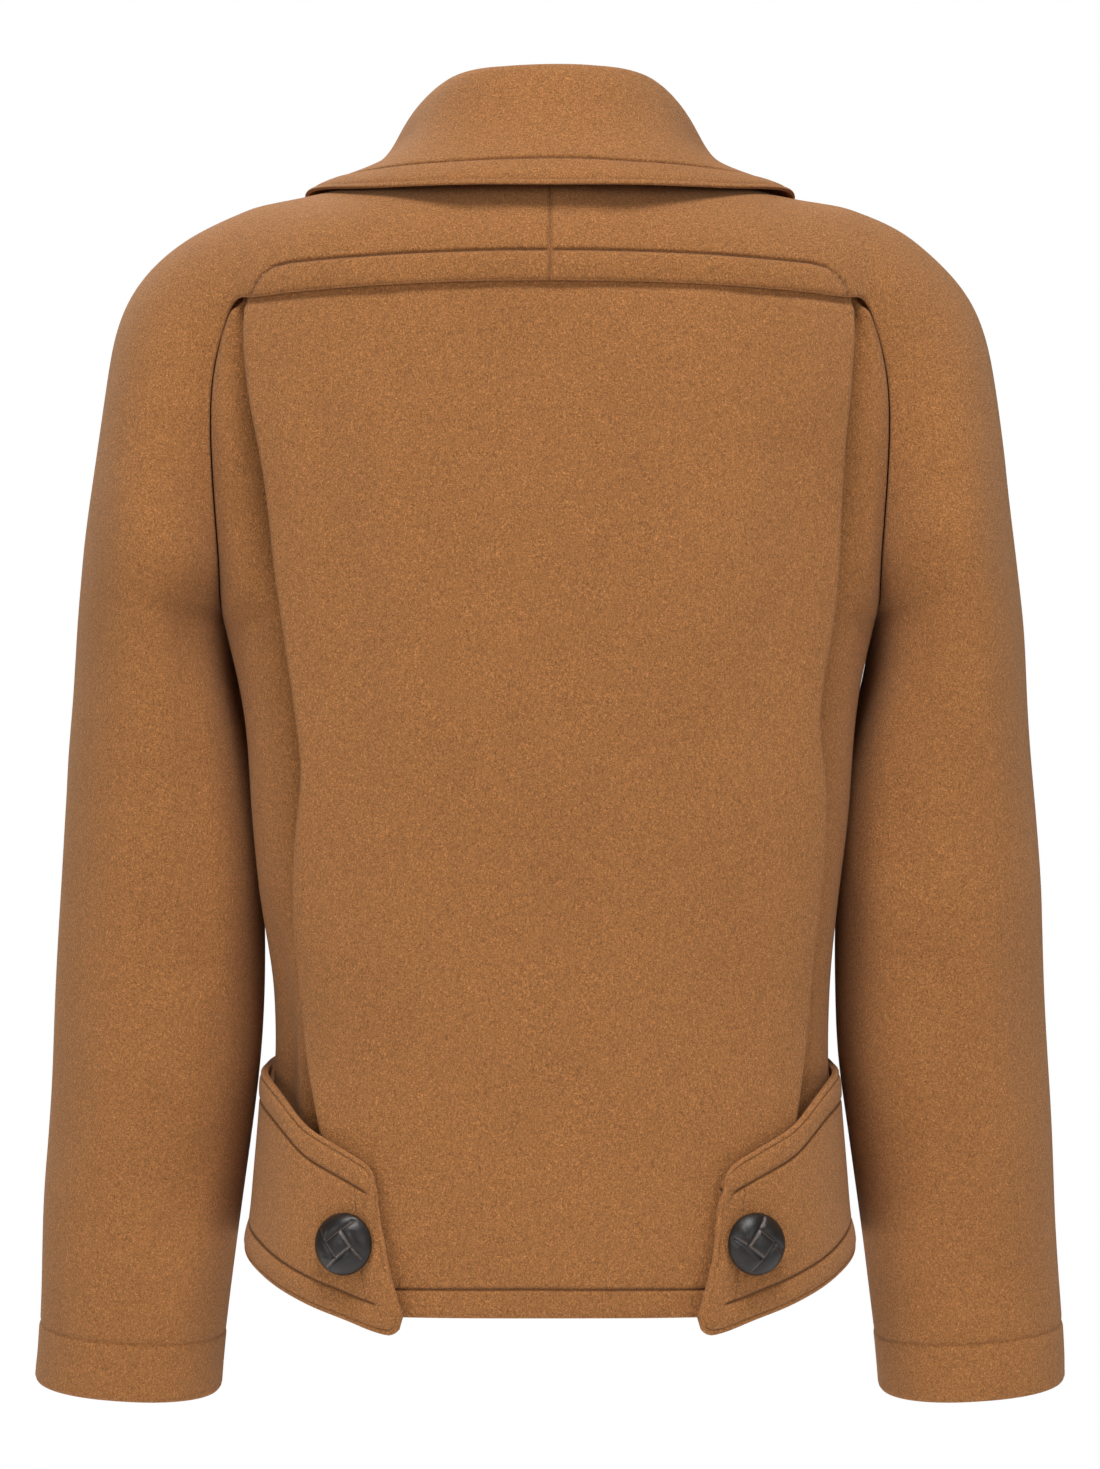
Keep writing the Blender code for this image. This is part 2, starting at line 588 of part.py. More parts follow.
# ================================================================ back
def build_back_panel():
    """The back panel, with its side edges folded under to make the pleats."""
    turn = 1 + np.arange(1, FOLD_STEPS + 1) / FOLD_STEPS
    past_turn = 2 + np.array([0.5, 1.0])
    half = np.concatenate([turn, past_turn])
    share = np.concatenate([-half[::-1], -np.array(BACK_ACROSS)[::-1], BACK_ACROSS[1:], half])
    levels = np.concatenate([
        YOKE_HEM + np.array(BACK_UNDER_YOKE), BACK_UPPER, np.linspace(BACK_LOWER_START, BACK_HEM, BACK_DOWN),
    ])

    def surface(u, v):
        """u is the height; v runs -1 to 1 over the panel, to 2 round the fold, and to 3 back under it."""
        left, right = (read(PLEAT, PLEAT_COLUMNS, word, u) for word in ("left", "right"))
        edge = np.where(v >= 0, left, right)
        flat = np.clip(v, -1, 1) * (edge - PLEAT_TURN)
        angle = angle_at(flat, u)
        ahead = unit(body(angle + 1e-4, u) - body(angle - 1e-4, u)) * np.sign(v)[..., None]
        swing = math.pi * np.clip(np.abs(v) - 1, 0, 1)
        along = PLEAT_TURN * np.sin(swing) - PLEAT_UNDER * np.maximum(np.abs(v) - 2, 0)
        off = read(PANEL, PANEL_COLUMNS, "proud", u) - PLEAT_TURN * (1 - np.cos(swing))
        return body(angle, u) + along[..., None] * ahead + off[..., None] * body_normal(angle, u)

    cloth("back_panel", surface, levels, share)


def armhole_angle(z):
    angles = np.radians(column(FAN, FAN_COLUMNS, "angle"))[::-1]
    levels = column(FAN, FAN_COLUMNS, "z")[::-1]
    return np.where(z < levels[0], math.pi / 2, np.interp(z, levels, angles))


def band_edge(name, angle):
    return read(BAND, BAND_COLUMNS, name, np.degrees(np.abs(angle)))


def build_back_sides():
    """From under the back panel's fold out to the armhole and the side seam, down behind the waistband."""
    keys = sleeve_keys()
    armhole = column(FAN, FAN_COLUMNS, "z")
    levels = np.concatenate([SIDE_TUCK, armhole[1:], SIDE_SEAM_LEVELS])
    last = len(levels) - 1
    share = np.array(SIDE_ACROSS)
    seam_rows = np.arange(len(SIDE_TUCK), len(SIDE_TUCK) + len(armhole) - 1)
    for name, side, word in (("back_side_left", 1.0, "left"), ("back_side_right", -1.0, "right")):

        def surface(u, v, side=side, word=word):
            level = np.interp(np.minimum(u, last), np.arange(last + 1), levels)
            outer = armhole_angle(level)
            inner = angle_at(read(PLEAT, PLEAT_COLUMNS, word, level) - PLEAT_REACH, level)
            angle = inner + (outer - inner) * v
            down = np.clip((u - last) / SIDE_UNDER_BAND, 0, 1)
            z = level + (band_edge("bottom", angle) + BAND_SHORT - level) * down
            fold = angle_at(read(PLEAT, PLEAT_COLUMNS, word, z), z)
            rise = step_up(angle, fold + SIDE_RISE[0], fold + SIDE_RISE[1] * (outer - fold))
            sunk = -read(PANEL, PANEL_COLUMNS, "sunk_" + word, z)
            tucked = SIDE_UNDER_YOKE * step_up(z, armhole[1], SIDE_TUCK[-1])
            off = sunk * (1 - rise) - tucked * rise
            if side > 0:
                crease = angle_at(read(FOLD, FOLD_COLUMNS, "x", z), z)
                trough = np.exp(-(((angle - crease) / FOLD_WIDTH) ** 2))
                off = off - read(FOLD, FOLD_COLUMNS, "depth", z) * trough
            return body(side * angle, z, off)

        behind = armhole_mitres(keys, side)[0][1][1:]
        cloth(
            name, surface, np.arange(0, last + SIDE_UNDER_BAND + 1, 1.0), share, inward=-side,
            mitres=((seam_rows, -1, behind),),
        )


# ================================================================ fronts
def roll_line(z):
    """How far the roll line lies past the centre, towards the front's own side, at a height."""
    share = np.clip((z - BREAK) / (ROLL_TOP[1] - BREAK), 0, 1)
    return -FRONT_EDGE + (ROLL_TOP[0] + FRONT_EDGE) * share


def overlap_out(x, z):
    """How far the right front stands out, where x is + towards its own side."""
    across = 1 - step_up(x, FRONT_EDGE + OVERLAP_FADE[0], FRONT_EDGE + OVERLAP_FADE[1])
    return OVERLAP_OUT * across * (1 - step_up(z, *OVERLAP_TOP))


def front_angle(x, z):
    """The plan angle of a point of the front: half a turn is the centre, less is towards the own side."""
    return np.where(x >= 0, angle_at(np.abs(x), z, front=True), math.pi + angle_at(np.abs(x), z))


def build_fronts():
    keys = sleeve_keys()
    raglan_x = np.array(YOKE_ROWS[RAGLAN_ROW:])
    raglan_z, raglan_angle = raglan_line(raglan_x)
    armhole = column(FAN, FAN_COLUMNS, "z")
    side_count = len(SIDE_SEAM_LEVELS) + 1
    outer_angle = np.concatenate([
        raglan_angle, math.pi - armhole_angle(armhole), np.full(side_count, math.pi / 2),
    ])
    side_foot = float(band_edge("top", math.pi / 2)) + BAND_SEAM
    outer_z = np.concatenate([raglan_z, armhole, SIDE_SEAM_LEVELS, [side_foot]])
    centre_z = outer_z.copy()
    centre_z[:len(raglan_x)] = np.linspace(ROLL_TOP[1], FRONT_TOP_RUN, len(raglan_x))
    centre_z[-1] = float(band_edge("top", math.pi)) + BAND_SEAM
    places = np.arange(len(outer_z))
    seam_rows = np.arange(len(raglan_x) + len(armhole) - 1)
    for name, side in (("front_left", 1.0), ("front_right", -1.0)):

        def surface(u, v, side=side):
            z_in, z_out = np.interp(u, places, centre_z), np.interp(u, places, outer_z)
            x_in = roll_line(z_in) + ROLL_TRIM * step_up(z_in, BREAK - ROLL_TRIM_FADE, BREAK + ROLL_TRIM_FADE)
            angle_in = front_angle(x_in, z_in)
            angle = angle_in + (np.interp(u, places, outer_angle) - angle_in) * v
            z = z_in + (z_out - z_in) * v
            to_band = np.clip(u - (len(outer_z) - 2), 0, None)
            above = SIDE_SEAM_LEVELS[-1]
            z = np.where(to_band > 0, above + (band_edge("top", angle) + BAND_SEAM - above) * to_band, z)
            out = overlap_out(body(angle, z)[..., 0], z) if side < 0 else np.zeros_like(z)
            return body(side * angle, z, out)

        along_raglan = -body_normal(side * raglan_angle[1:], raglan_z[1:])
        before = np.concatenate([along_raglan, armhole_mitres(keys, side)[1][1]])
        cloth(
            name, surface, places[1:].astype(float), np.linspace(0, 1, FRONT_ACROSS + 1), inward=side,
            mitres=((seam_rows, -1, before),),
        )


def build_facings():
    """The lapels: each turns over the roll line and lies back on its front."""
    share, along, off = (column(ROLL_PROFILE, ROLL_PROFILE_COLUMNS, name) for name in ROLL_PROFILE_COLUMNS)
    places = np.arange(len(share))
    rows = np.linspace(0, 1, FACING_ROWS + 1)
    for name, side in (("facing_left", 1.0), ("facing_right", -1.0)):
        start_z, edge_x, edge_z = FACING_START[name]

        def surface(u, v, side=side, start_z=start_z, edge_x=edge_x, edge_z=edge_z):
            """u runs from the break up to the gorge; v runs along the profile."""
            roll_z = start_z + (LAPEL_TOP_Z - start_z) * u
            roll_x = roll_line(roll_z)
            tip_x = edge_x + (LAPEL_TIP[0] - edge_x) * (u + LAPEL_BELLY * u * (1 - u))
            tip_z = edge_z + (LAPEL_TIP[1] - edge_z) * u
            s, a, o = (np.interp(v, places, values) for values in (share, along, off))
            x = roll_x + a + (tip_x - roll_x) * s
            z = roll_z + (tip_z - roll_z) * s
            out = overlap_out(x, z) if side < 0 else np.zeros_like(x)
            return body(side * front_angle(x, z), z, o + out)

        cloth(name, surface, rows, places.astype(float), inward=-side)


# ================================================================ waistband
def build_waistbands():
    rounding = np.array([0.0, 0.25, 0.6, 1.0])
    lowered = 1 - np.sqrt(1 - (1 - rounding) ** 2)
    corners = np.arange(len(rounding))
    z_mid = 0.5 * (band_edge("top", BAND_MIDDLE) + band_edge("bottom", BAND_MIDDLE))
    per_metre = 1 / read(BODY, BODY_COLUMNS, "side", z_mid)
    front_end = math.pi + float(angle_at(FRONT_EDGE, BAND_FRONT_LEVEL))
    for name, side in (("waistband_left", 1.0), ("waistband_right", -1.0)):

        def surface(u, v, side=side):
            """u runs 0 to 3 over the rounded end of the tab and on to 4 at the front edge; v runs up."""
            end_x = TAB_END_BOTTOM + (TAB_END_TOP - TAB_END_BOTTOM) * v
            start = angle_at(end_x, np.full_like(end_x, z_mid))
            corner = np.interp(u, corners, rounding) * TAB_CORNER
            bend = np.interp(u, corners, lowered) * TAB_CORNER
            rest = np.clip(u - corners[-1], 0, None)
            first = start + corner * per_metre
            angle = first + (front_end - first) * rest
            upper = band_edge("top", angle) - bend
            lower = band_edge("bottom", angle) + bend
            z = lower + (upper - lower) * v
            out = band_edge("out", angle)
            if side < 0:
                reach = body(angle, z)[..., 0] - FRONT_EDGE
                out = out + BAND_OVER * (1 - step_up(reach, *BAND_OVER_FADE)) * (angle > BAND_FRONT_ANGLE)
            return body(side * angle, z, out)

        along = np.concatenate([corners, corners[-1] + np.linspace(0, 1, BAND_AROUND + 1)[1:]])
        cloth(name, surface, along, np.linspace(0, 1, 5), DOUBLED, inward=-side)


# ================================================================ collar
def laid_on(points, clearance):
    """Points moved out, away from the shoulder's centre line, to keep clear of the body form."""
    x = np.abs(points[..., 0])
    hem, top = yoke_hem(x), read(RIDGE, RIDGE_COLUMNS, "height", x)
    crest = read(RIDGE, RIDGE_COLUMNS, "depth", x)
    angle = np.where(points[..., 1] >= crest, angle_at(x, hem), angle_at(x, hem, front=True))
    depth = np.abs(body(angle, hem)[..., 1] - crest)
    high = top - hem
    y, z = points[..., 1] - crest, points[..., 2] - hem
    far = power(y / depth, SHOULDER_ROUND) + power(np.maximum(z, 0) / high, SHOULDER_ROUND)
    far = far ** (1 / SHOULDER_ROUND)
    wanted = 1 + clearance / np.sqrt(depth * high)
    grow = np.maximum(1, wanted / np.maximum(far, 1e-6))
    return np.stack([points[..., 0], crest + y * grow, hem + z * np.where(z > 0, grow, 1)], axis=-1)


def collar_lines():
    """Points for each line of the collar, from the centre back to the front end."""
    return np.array([
        laid_on(MILLIMETRE * np.array(points, float), COLLAR_CLEARANCE[name])
        for name, points in COLLAR_LINES.items()
    ])


def build_collar():
    lines = collar_lines()
    stations = np.arange(lines.shape[1])
    places = np.arange(lines.shape[0])

    def surface(u, v):
        """u counts the stations, from - at the right end to + at the left; v counts the lines."""
        x, y, z = (grid_spline(np.abs(u), v, stations, places, lines[..., i]) for i in range(3))
        return np.stack([x * np.sign(u), y, z], axis=-1)

    half = np.concatenate([np.arange(0, stations[-1], 0.5), [stations[-1]]])
    u = np.concatenate([-half[:0:-1], half])
    cloth("collar", surface, u, np.array(COLLAR_STEPS), COLLAR_CLOTH)


def grid_spline(u, v, stations, places, values):
    """A spline along each line, then a spline across the lines."""
    shape = u.shape
    u, v = u.ravel(), v.ravel()
    along = np.array([mirrored_spline(u, stations, line) for line in values])
    result = np.empty(len(u))
    for i in range(len(u)):
        result[i] = smooth(v[i], places, along[:, i])
    return result.reshape(shape)


# ================================================================ buttons
def build_button(name, seat, facing, finish):
    """A domed button on its shank: a profile of radius and height, turned about the way it faces."""
    top = BUTTON_STANDOFF + BUTTON_RIM
    profile = (
        (0.0, top + BUTTON_DOME),
        (0.34 * BUTTON_RADIUS, top + 0.92 * BUTTON_DOME),
        (0.68 * BUTTON_RADIUS, top + 0.60 * BUTTON_DOME),
        (0.93 * BUTTON_RADIUS, top),
        (BUTTON_RADIUS, BUTTON_STANDOFF + 0.5 * BUTTON_RIM),
        (0.86 * BUTTON_RADIUS, BUTTON_STANDOFF),
        (SHANK_RADIUS, BUTTON_STANDOFF),
        (SHANK_RADIUS, 0.0),
        (0.0, 0.0),
    )
    mesh = bpy.data.meshes.new(name)
    edges = [(i, i + 1) for i in range(len(profile) - 1)]
    mesh.from_pydata([(radius, 0.0, height) for radius, height in profile], edges, [])
    button = add_object(name, mesh, finish)
    turned = button.modifiers.new("turned", "SCREW")
    turned.steps = turned.render_steps = BUTTON_SIDES
    turned.use_merge_vertices = True
    turned.merge_threshold = BUTTON_MERGE
    button.location = seat
    button.rotation_euler = Vector(facing).to_track_quat("Z", "Y").to_euler()


def build_buttons():
    leather = material("leather", LEATHER, 0.45)
    x, z = TAB_BUTTON
    angle = float(angle_at(x, z))
    for name, side in (("tab_button_left", 1.0), ("tab_button_right", -1.0)):
        seat = body(side * angle, z, band_edge("out", angle) + LAP)
        build_button(name, seat, body_normal(side * angle, z), leather)
    for row, level in enumerate(FRONT_BUTTON_ROWS, start=1):
        on_band = level < band_edge("top", math.pi)
        for word, x in (("inner", FRONT_BUTTON_X), ("outer", -FRONT_BUTTON_X)):
            angle = float(front_angle(x, level))
            out = float(band_edge("out", angle)) + BAND_OVER if on_band else OVERLAP_OUT
            seat = body(-angle, level, out + LAP)
            build_button(f"front_button_{word}_{row}", seat, body_normal(-angle, level), leather)


def main():
    for obj in list(bpy.data.objects):
        bpy.data.objects.remove(obj)
    coat = bpy.data.collections.new("coat")
    bpy.context.scene.collection.children.link(coat)
    build_sleeves()
    build_back_panel()
    build_back_sides()
    build_fronts()
    build_facings()
    build_waistbands()
    build_collar()
    build_buttons()


main()
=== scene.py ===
"""The looks of a short double-breasted wool coat, laid over its fixed frame piece by piece.

Units are metres, +Z is up, the fronts face -Y and the wearer's left is +X.
Every cloth piece is a fine grid on one outer form, the body, or on the sleeves that grow out of it.
A grid gets its creases, its sewn grooves and a rounded edge, and then a wall of the cloth's thickness.
"""

import json
import math

import bpy
import numpy as np
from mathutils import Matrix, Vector


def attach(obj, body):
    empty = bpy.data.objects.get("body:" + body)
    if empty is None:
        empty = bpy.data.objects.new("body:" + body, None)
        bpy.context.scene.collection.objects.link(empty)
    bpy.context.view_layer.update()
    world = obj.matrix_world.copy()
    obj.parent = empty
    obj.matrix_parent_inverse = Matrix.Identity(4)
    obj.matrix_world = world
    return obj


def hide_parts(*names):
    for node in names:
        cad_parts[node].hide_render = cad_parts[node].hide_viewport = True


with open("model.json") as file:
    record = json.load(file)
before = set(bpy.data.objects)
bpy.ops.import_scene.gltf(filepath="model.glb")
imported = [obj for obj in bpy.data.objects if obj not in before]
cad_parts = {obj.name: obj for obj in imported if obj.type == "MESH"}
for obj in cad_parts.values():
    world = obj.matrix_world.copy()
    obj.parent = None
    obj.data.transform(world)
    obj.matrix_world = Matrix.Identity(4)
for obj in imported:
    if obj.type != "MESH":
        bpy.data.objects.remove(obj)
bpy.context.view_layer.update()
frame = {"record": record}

bl_info = {
    "name": "Camel Coat",
    "version": (1, 0, 0),
    "blender": (4, 5, 0),
    "location": "View3D > Sidebar > Coat",
    "description": "Builds the cloth, sewing, buttons and stage of a short wool coat",
    "category": "Add Mesh",
}

SLOTS = {row["slot"]: row for row in frame["record"]["materials"]}
MM = 0.001
SIDES = (1.0, -1.0)    # the wearer's left and right

# ---------------------------------------------------------------- cloth and seams
CLOTH = 0.003          # thickness of one layer of felted coating
DOUBLED = 0.004        # thickness of the waistband, two layers pressed together
LAP = 0.0004           # gap between two pieces that lie on each other

# ---------------------------------------------------------------- body form
# One row for each level: half width at the side, depth to the back and to the front,
# squareness of the plan, and how far the arm presses the side in.
BODY_COLUMNS = ("z", "side", "back", "front", "square", "press")
BODY = (
    (-0.640, 0.1560, 0.114, 0.130, 2.9, 0.0000),
    (-0.602, 0.1590, 0.115, 0.131, 2.9, 0.0000),
    (-0.573, 0.1610, 0.115, 0.131, 2.9, 0.0000),
    (-0.556, 0.1588, 0.114, 0.130, 2.9, 0.0000),
    (-0.541, 0.1572, 0.113, 0.129, 2.9, 0.0000),
    (-0.514, 0.1550, 0.111, 0.128, 2.9, 0.0010),
    (-0.485, 0.1540, 0.110, 0.127, 2.9, 0.0030),
    (-0.436, 0.1580, 0.110, 0.128, 2.9, 0.0068),
    (-0.406, 0.1620, 0.111, 0.130, 3.0, 0.0107),
    (-0.372, 0.1660, 0.113, 0.132, 3.0, 0.0137),
    (-0.330, 0.1710, 0.116, 0.134, 3.0, 0.0157),
    (-0.282, 0.1750, 0.118, 0.136, 2.9, 0.0130),
    (-0.232, 0.1815, 0.119, 0.137, 2.8, 0.0055),
    (-0.199, 0.1880, 0.119, 0.136, 2.7, 0.0020),
    (-0.160, 0.1960, 0.118, 0.133, 2.6, 0.0000),
    (-0.124, 0.2000, 0.117, 0.128, 2.6, 0.0000),
    (-0.090, 0.1990, 0.115, 0.121, 2.6, 0.0000),
    (-0.061, 0.1960, 0.112, 0.114, 2.6, 0.0000),
)
PRESS_REACH = 0.050            # how far the arm's press spreads fore and aft
PRESS_CENTRE = -0.008
PRESS_STARTS = (0.050, 0.110)  # the press grows between these distances from the centre
NORMAL_REACH = 0.004           # height over which the form's normals are evened
MITRE_LIMIT = 0.75     # how much a wall may widen where two pieces meet at an angle
RIDGE_BLEND = 0.15     # how sharp a ridge is before its walls are fully mitred

# The top of the shoulders, by distance from the centre back.
RIDGE_COLUMNS = ("x", "height", "depth")
RIDGE = (
    (0.000, 0.0260, 0.000),
    (0.034, 0.0235, 0.000),
    (0.068, 0.0170, 0.000),
    (0.100, 0.0080, -0.001),
    (0.133, 0.0000, -0.002),
    (0.161, -0.0046, -0.004),
    (0.171, -0.0082, -0.005),
    (0.196, -0.0200, -0.006),
)
SHOULDER_ROUND = 2.3   # squareness of the shoulder seen from the side
YOKE_HEM = -0.054      # lower edge of the yoke at the centre back
YOKE_HEM_DROP = 0.007  # how much lower it is at the corner
YOKE_CORNER = 0.169    # where the yoke's edge turns down into the armhole
YOKE_HEM_LEVEL = -0.061

# ---------------------------------------------------------------- neck
NECK_SIDE = 0.068      # half width of the neck opening
NECK_BACK = 0.062      # its depth behind the shoulder ridge
RAGLAN_BEND = 0.8      # how the front seam of the yoke bows between the neck and the armhole

# ---------------------------------------------------------------- sleeves
# Above the armpit: the armhole seam by plan angle and height, and the point of the
# coat's outline that the section through it reaches, with the sleeve's fullness.
FAN_COLUMNS = ("angle", "z", "crest_x", "crest_z", "crest_y", "full_back", "full_front")
FAN = (
    (55.6, -0.061, 0.1710, -0.0082, -0.005, 0.0000, 0.0000),
    (58.2, -0.073, 0.1900, -0.0165, -0.006, 0.0001, 0.0001),
    (60.3, -0.087, 0.2065, -0.0275, -0.007, 0.0004, 0.0004),
    (61.8, -0.104, 0.2205, -0.0410, -0.007, 0.0011, 0.0010),
    (62.6, -0.124, 0.2315, -0.0570, -0.007, 0.0027, 0.0023),
    (63.6, -0.146, 0.2390, -0.0770, -0.007, 0.0058, 0.0047),
    (65.4, -0.168, 0.2440, -0.1020, -0.007, 0.0110, 0.0090),
    (68.0, -0.189, 0.2482, -0.1310, -0.007, 0.0187, 0.0152),
    (72.0, -0.208, 0.2515, -0.1600, -0.007, 0.0290, 0.0245),
    (79.5, -0.224, 0.2545, -0.1870, -0.007, 0.0425, 0.0415),
    (90.0, -0.232, 0.2572, -0.2130, -0.007, 0.0735, 0.0815),
)
# Below the armpit, by column: the tube's inner point and its outer one, each in x and z, its middle, its half
# depths to the back and to the front, and how steeply its section slopes down to the back.
TUBE = (
    (0.1735, -0.257, 0.2600, -0.240, -0.007, 0.0765, 0.0725, 0.000),
    (0.1670, -0.287, 0.2622, -0.272, -0.006, 0.0730, 0.0705, 0.000),
    (0.1615, -0.320, 0.2647, -0.307, -0.005, 0.0698, 0.0688, 0.000),
    (0.1585, -0.355, 0.2672, -0.344, -0.004, 0.0670, 0.0670, 0.000),
    (0.1570, -0.400, 0.2700, -0.390, -0.004, 0.0650, 0.0650, 0.010),
    (0.1580, -0.450, 0.2726, -0.440, -0.006, 0.0625, 0.0630, 0.030),
    (0.1630, -0.500, 0.2752, -0.490, -0.010, 0.0600, 0.0600, 0.060),
    (0.1700, -0.550, 0.2785, -0.541, -0.016, 0.0575, 0.0575, 0.080),
    (0.1770, -0.600, 0.2818, -0.592, -0.023, 0.0550, 0.0550, 0.095),
    (0.1810, -0.634, 0.2842, -0.627, -0.028, 0.0535, 0.0535, 0.100),
    (0.1830, -0.6565, 0.2855, -0.650, -0.031, 0.0525, 0.0525, 0.100),
)
SLEEVE_ROUND = 2.25    # squareness of a sleeve's section

# ---------------------------------------------------------------- back pleats
# The folded edge of the back panel on the wearer's left and right, by height.
PLEAT_COLUMNS = ("z", "left", "right")
PLEAT = (
    (-0.602, 0.1200, 0.1290),
    (-0.505, 0.1240, 0.1330),
    (-0.471, 0.1310, 0.1380),
    (-0.440, 0.1350, 0.1415),
    (-0.407, 0.1380, 0.1440),
    (-0.377, 0.1385, 0.1470),
    (-0.343, 0.1365, 0.1494),
    (-0.316, 0.1345, 0.1490),
    (-0.290, 0.1365, 0.1460),
    (-0.242, 0.1425, 0.1515),
    (-0.198, 0.1490, 0.1560),
    (-0.160, 0.1540, 0.1580),
    (-0.127, 0.1595, 0.1600),
    (-0.098, 0.1640, 0.1630),
    (-0.066, 0.1660, 0.1655),
    (-0.044, 0.1665, 0.1660),
)
PLEAT_TURN = 0.0040    # radius of the fold
PLEAT_UNDER = 0.009    # cloth turned under past the fold
PLEAT_REACH = 0.024    # how far the side panel runs in under the back panel
BACK_UNDER_YOKE = 0.010            # how far above the yoke's hem the panel starts
SIDE_TUCK = (-0.046, -0.058)       # heights of the side panel under the yoke
SIDE_RISE = (-0.02, 0.8)           # it rises from this angle before the fold to this share past it
SIDE_SEAM_LEVELS = (-0.270, -0.315, -0.360, -0.405, -0.446)
SIDE_UNDER_BAND = 3    # rows of the side panel behind the waistband
SIDE_UNDER_YOKE = 0.0065
BAND_SHORT = 0.004     # how far the side panel ends above the band's lower edge
PANEL_COLUMNS = ("z", "proud", "sunk_left", "sunk_right")
PANEL = (
    (-0.602, 0.0015, 0.0070, 0.0070),
    (-0.500, 0.0020, 0.0085, 0.0075),
    (-0.400, 0.0020, 0.0120, 0.0080),
    (-0.300, 0.0020, 0.0150, 0.0085),
    (-0.200, 0.0020, 0.0155, 0.0095),
    (-0.130, 0.0018, 0.0140, 0.0100),
    (-0.095, 0.0005, 0.0135, 0.0125),
    (-0.070, -0.0026, 0.0150, 0.0150),
    (-0.054, -0.0036, 0.0160, 0.0160),
    (-0.040, -0.0038, 0.0160, 0.0160),
)
BACK_HEM = -0.602

# A fold of the left side panel that runs down into the waistband.
FOLD_COLUMNS = ("z", "x", "depth")
FOLD = (
    (-0.600, 0.146, 0.000),
    (-0.520, 0.148, 0.006),
    (-0.466, 0.151, 0.010),
    (-0.424, 0.155, 0.006),
    (-0.380, 0.158, 0.000),
)
FOLD_WIDTH = 0.16      # in radians of plan angle

# ---------------------------------------------------------------- waistband
# By plan angle from the centre back: its top and bottom edges, and how far it stands out.
BAND_COLUMNS = ("angle", "top", "bottom", "out")
BAND = (
    (18.0, -0.5310, -0.6120, 0.0155),
    (22.0, -0.5275, -0.6110, 0.0120),
    (27.0, -0.5235, -0.6085, 0.0098),
    (32.0, -0.5180, -0.6045, 0.0090),
    (41.0, -0.5090, -0.5985, 0.0086),
    (48.5, -0.5020, -0.5935, 0.0082),
    (57.0, -0.4910, -0.5880, 0.0076),
    (65.0, -0.4830, -0.5830, 0.0070),
    (76.0, -0.4775, -0.5780, 0.0064),
    (90.0, -0.4745, -0.5725, 0.0060),
    (104.0, -0.4728, -0.5692, 0.0042),
    (120.0, -0.4710, -0.5660, 0.0032),
    (150.0, -0.4690, -0.5620, 0.0030),
    (180.0, -0.4680, -0.5600, 0.0030),
    (215.0, -0.4690, -0.5620, 0.0030),
)
TAB_END_TOP = 0.091    # distance of the tab's end from the centre back, at its top
TAB_END_BOTTOM = 0.076
TAB_CORNER = 0.011     # radius of the tab's corners
BAND_SEAM = 0.0004     # gap between the fronts and the top of the waistband

# ---------------------------------------------------------------- fronts
FRONT_EDGE = 0.080     # how far each front runs past the centre
BREAK = -0.200         # where the lapel starts to turn back
OVERLAP_OUT = 0.0050   # how far the right front stands off the left one
OVERLAP_FADE = (0.008, 0.048)      # it comes down between these distances past the left front's edge
OVERLAP_TOP = (-0.078, -0.040)     # and between these heights
FRONT_TOP_RUN = -0.050             # height of the front's inner edge where its armhole starts
ROLL_TOP = (0.066, 0.0155)   # the roll line's end at the neck, x and z
LAPEL_TIP = (0.134, -0.066)
LAPEL_BELLY = 0.10     # how far the lapel's outer edge bows out
# Where each lapel starts: height on the roll line, then x and z of its outer edge.
# The left one comes out from under the right front.
FACING_START = {"facing_left": (-0.074, 0.052, -0.117), "facing_right": (-0.194, -0.058, -0.190)}
LAPEL_TOP_Z = -0.012   # height at which the lapel's top edge leaves the roll line
ROLL_TRIM = 0.0042     # how far the front ends short of the roll line
ROLL_TRIM_FADE = 0.012 # height above and below the break over which it comes to that
BAND_OVER = 0.0058     # how far the upper end of the waistband stands off the lower one
BAND_OVER_FADE = (0.004, 0.040)    # it comes down between these distances past the front edge
BAND_FRONT_LEVEL = -0.520          # height at which the band's front end is level with the front's edge
BAND_MIDDLE = 0.6      # plan angle at which the band's height is taken for its tab
BAND_FRONT_ANGLE = 2.0 # plan angle past which the band lies on the front

# The lapel's cross section: share of its width, fixed distance, height off the front.
ROLL_PROFILE_COLUMNS = ("share", "along", "off")
ROLL_PROFILE = (
    (0.00, 0.0035, -0.0030),
    (0.00, -0.0015, -0.0024),
    (0.00, -0.0038, 0.0008),
    (0.00, -0.0022, 0.0052),
    (0.05, 0.0020, 0.0074),
    (0.20, 0.0030, 0.0072),
    (0.45, 0.0020, 0.0060),
    (0.75, 0.0010, 0.0050),
    (1.00, 0.0000, 0.0046),
)

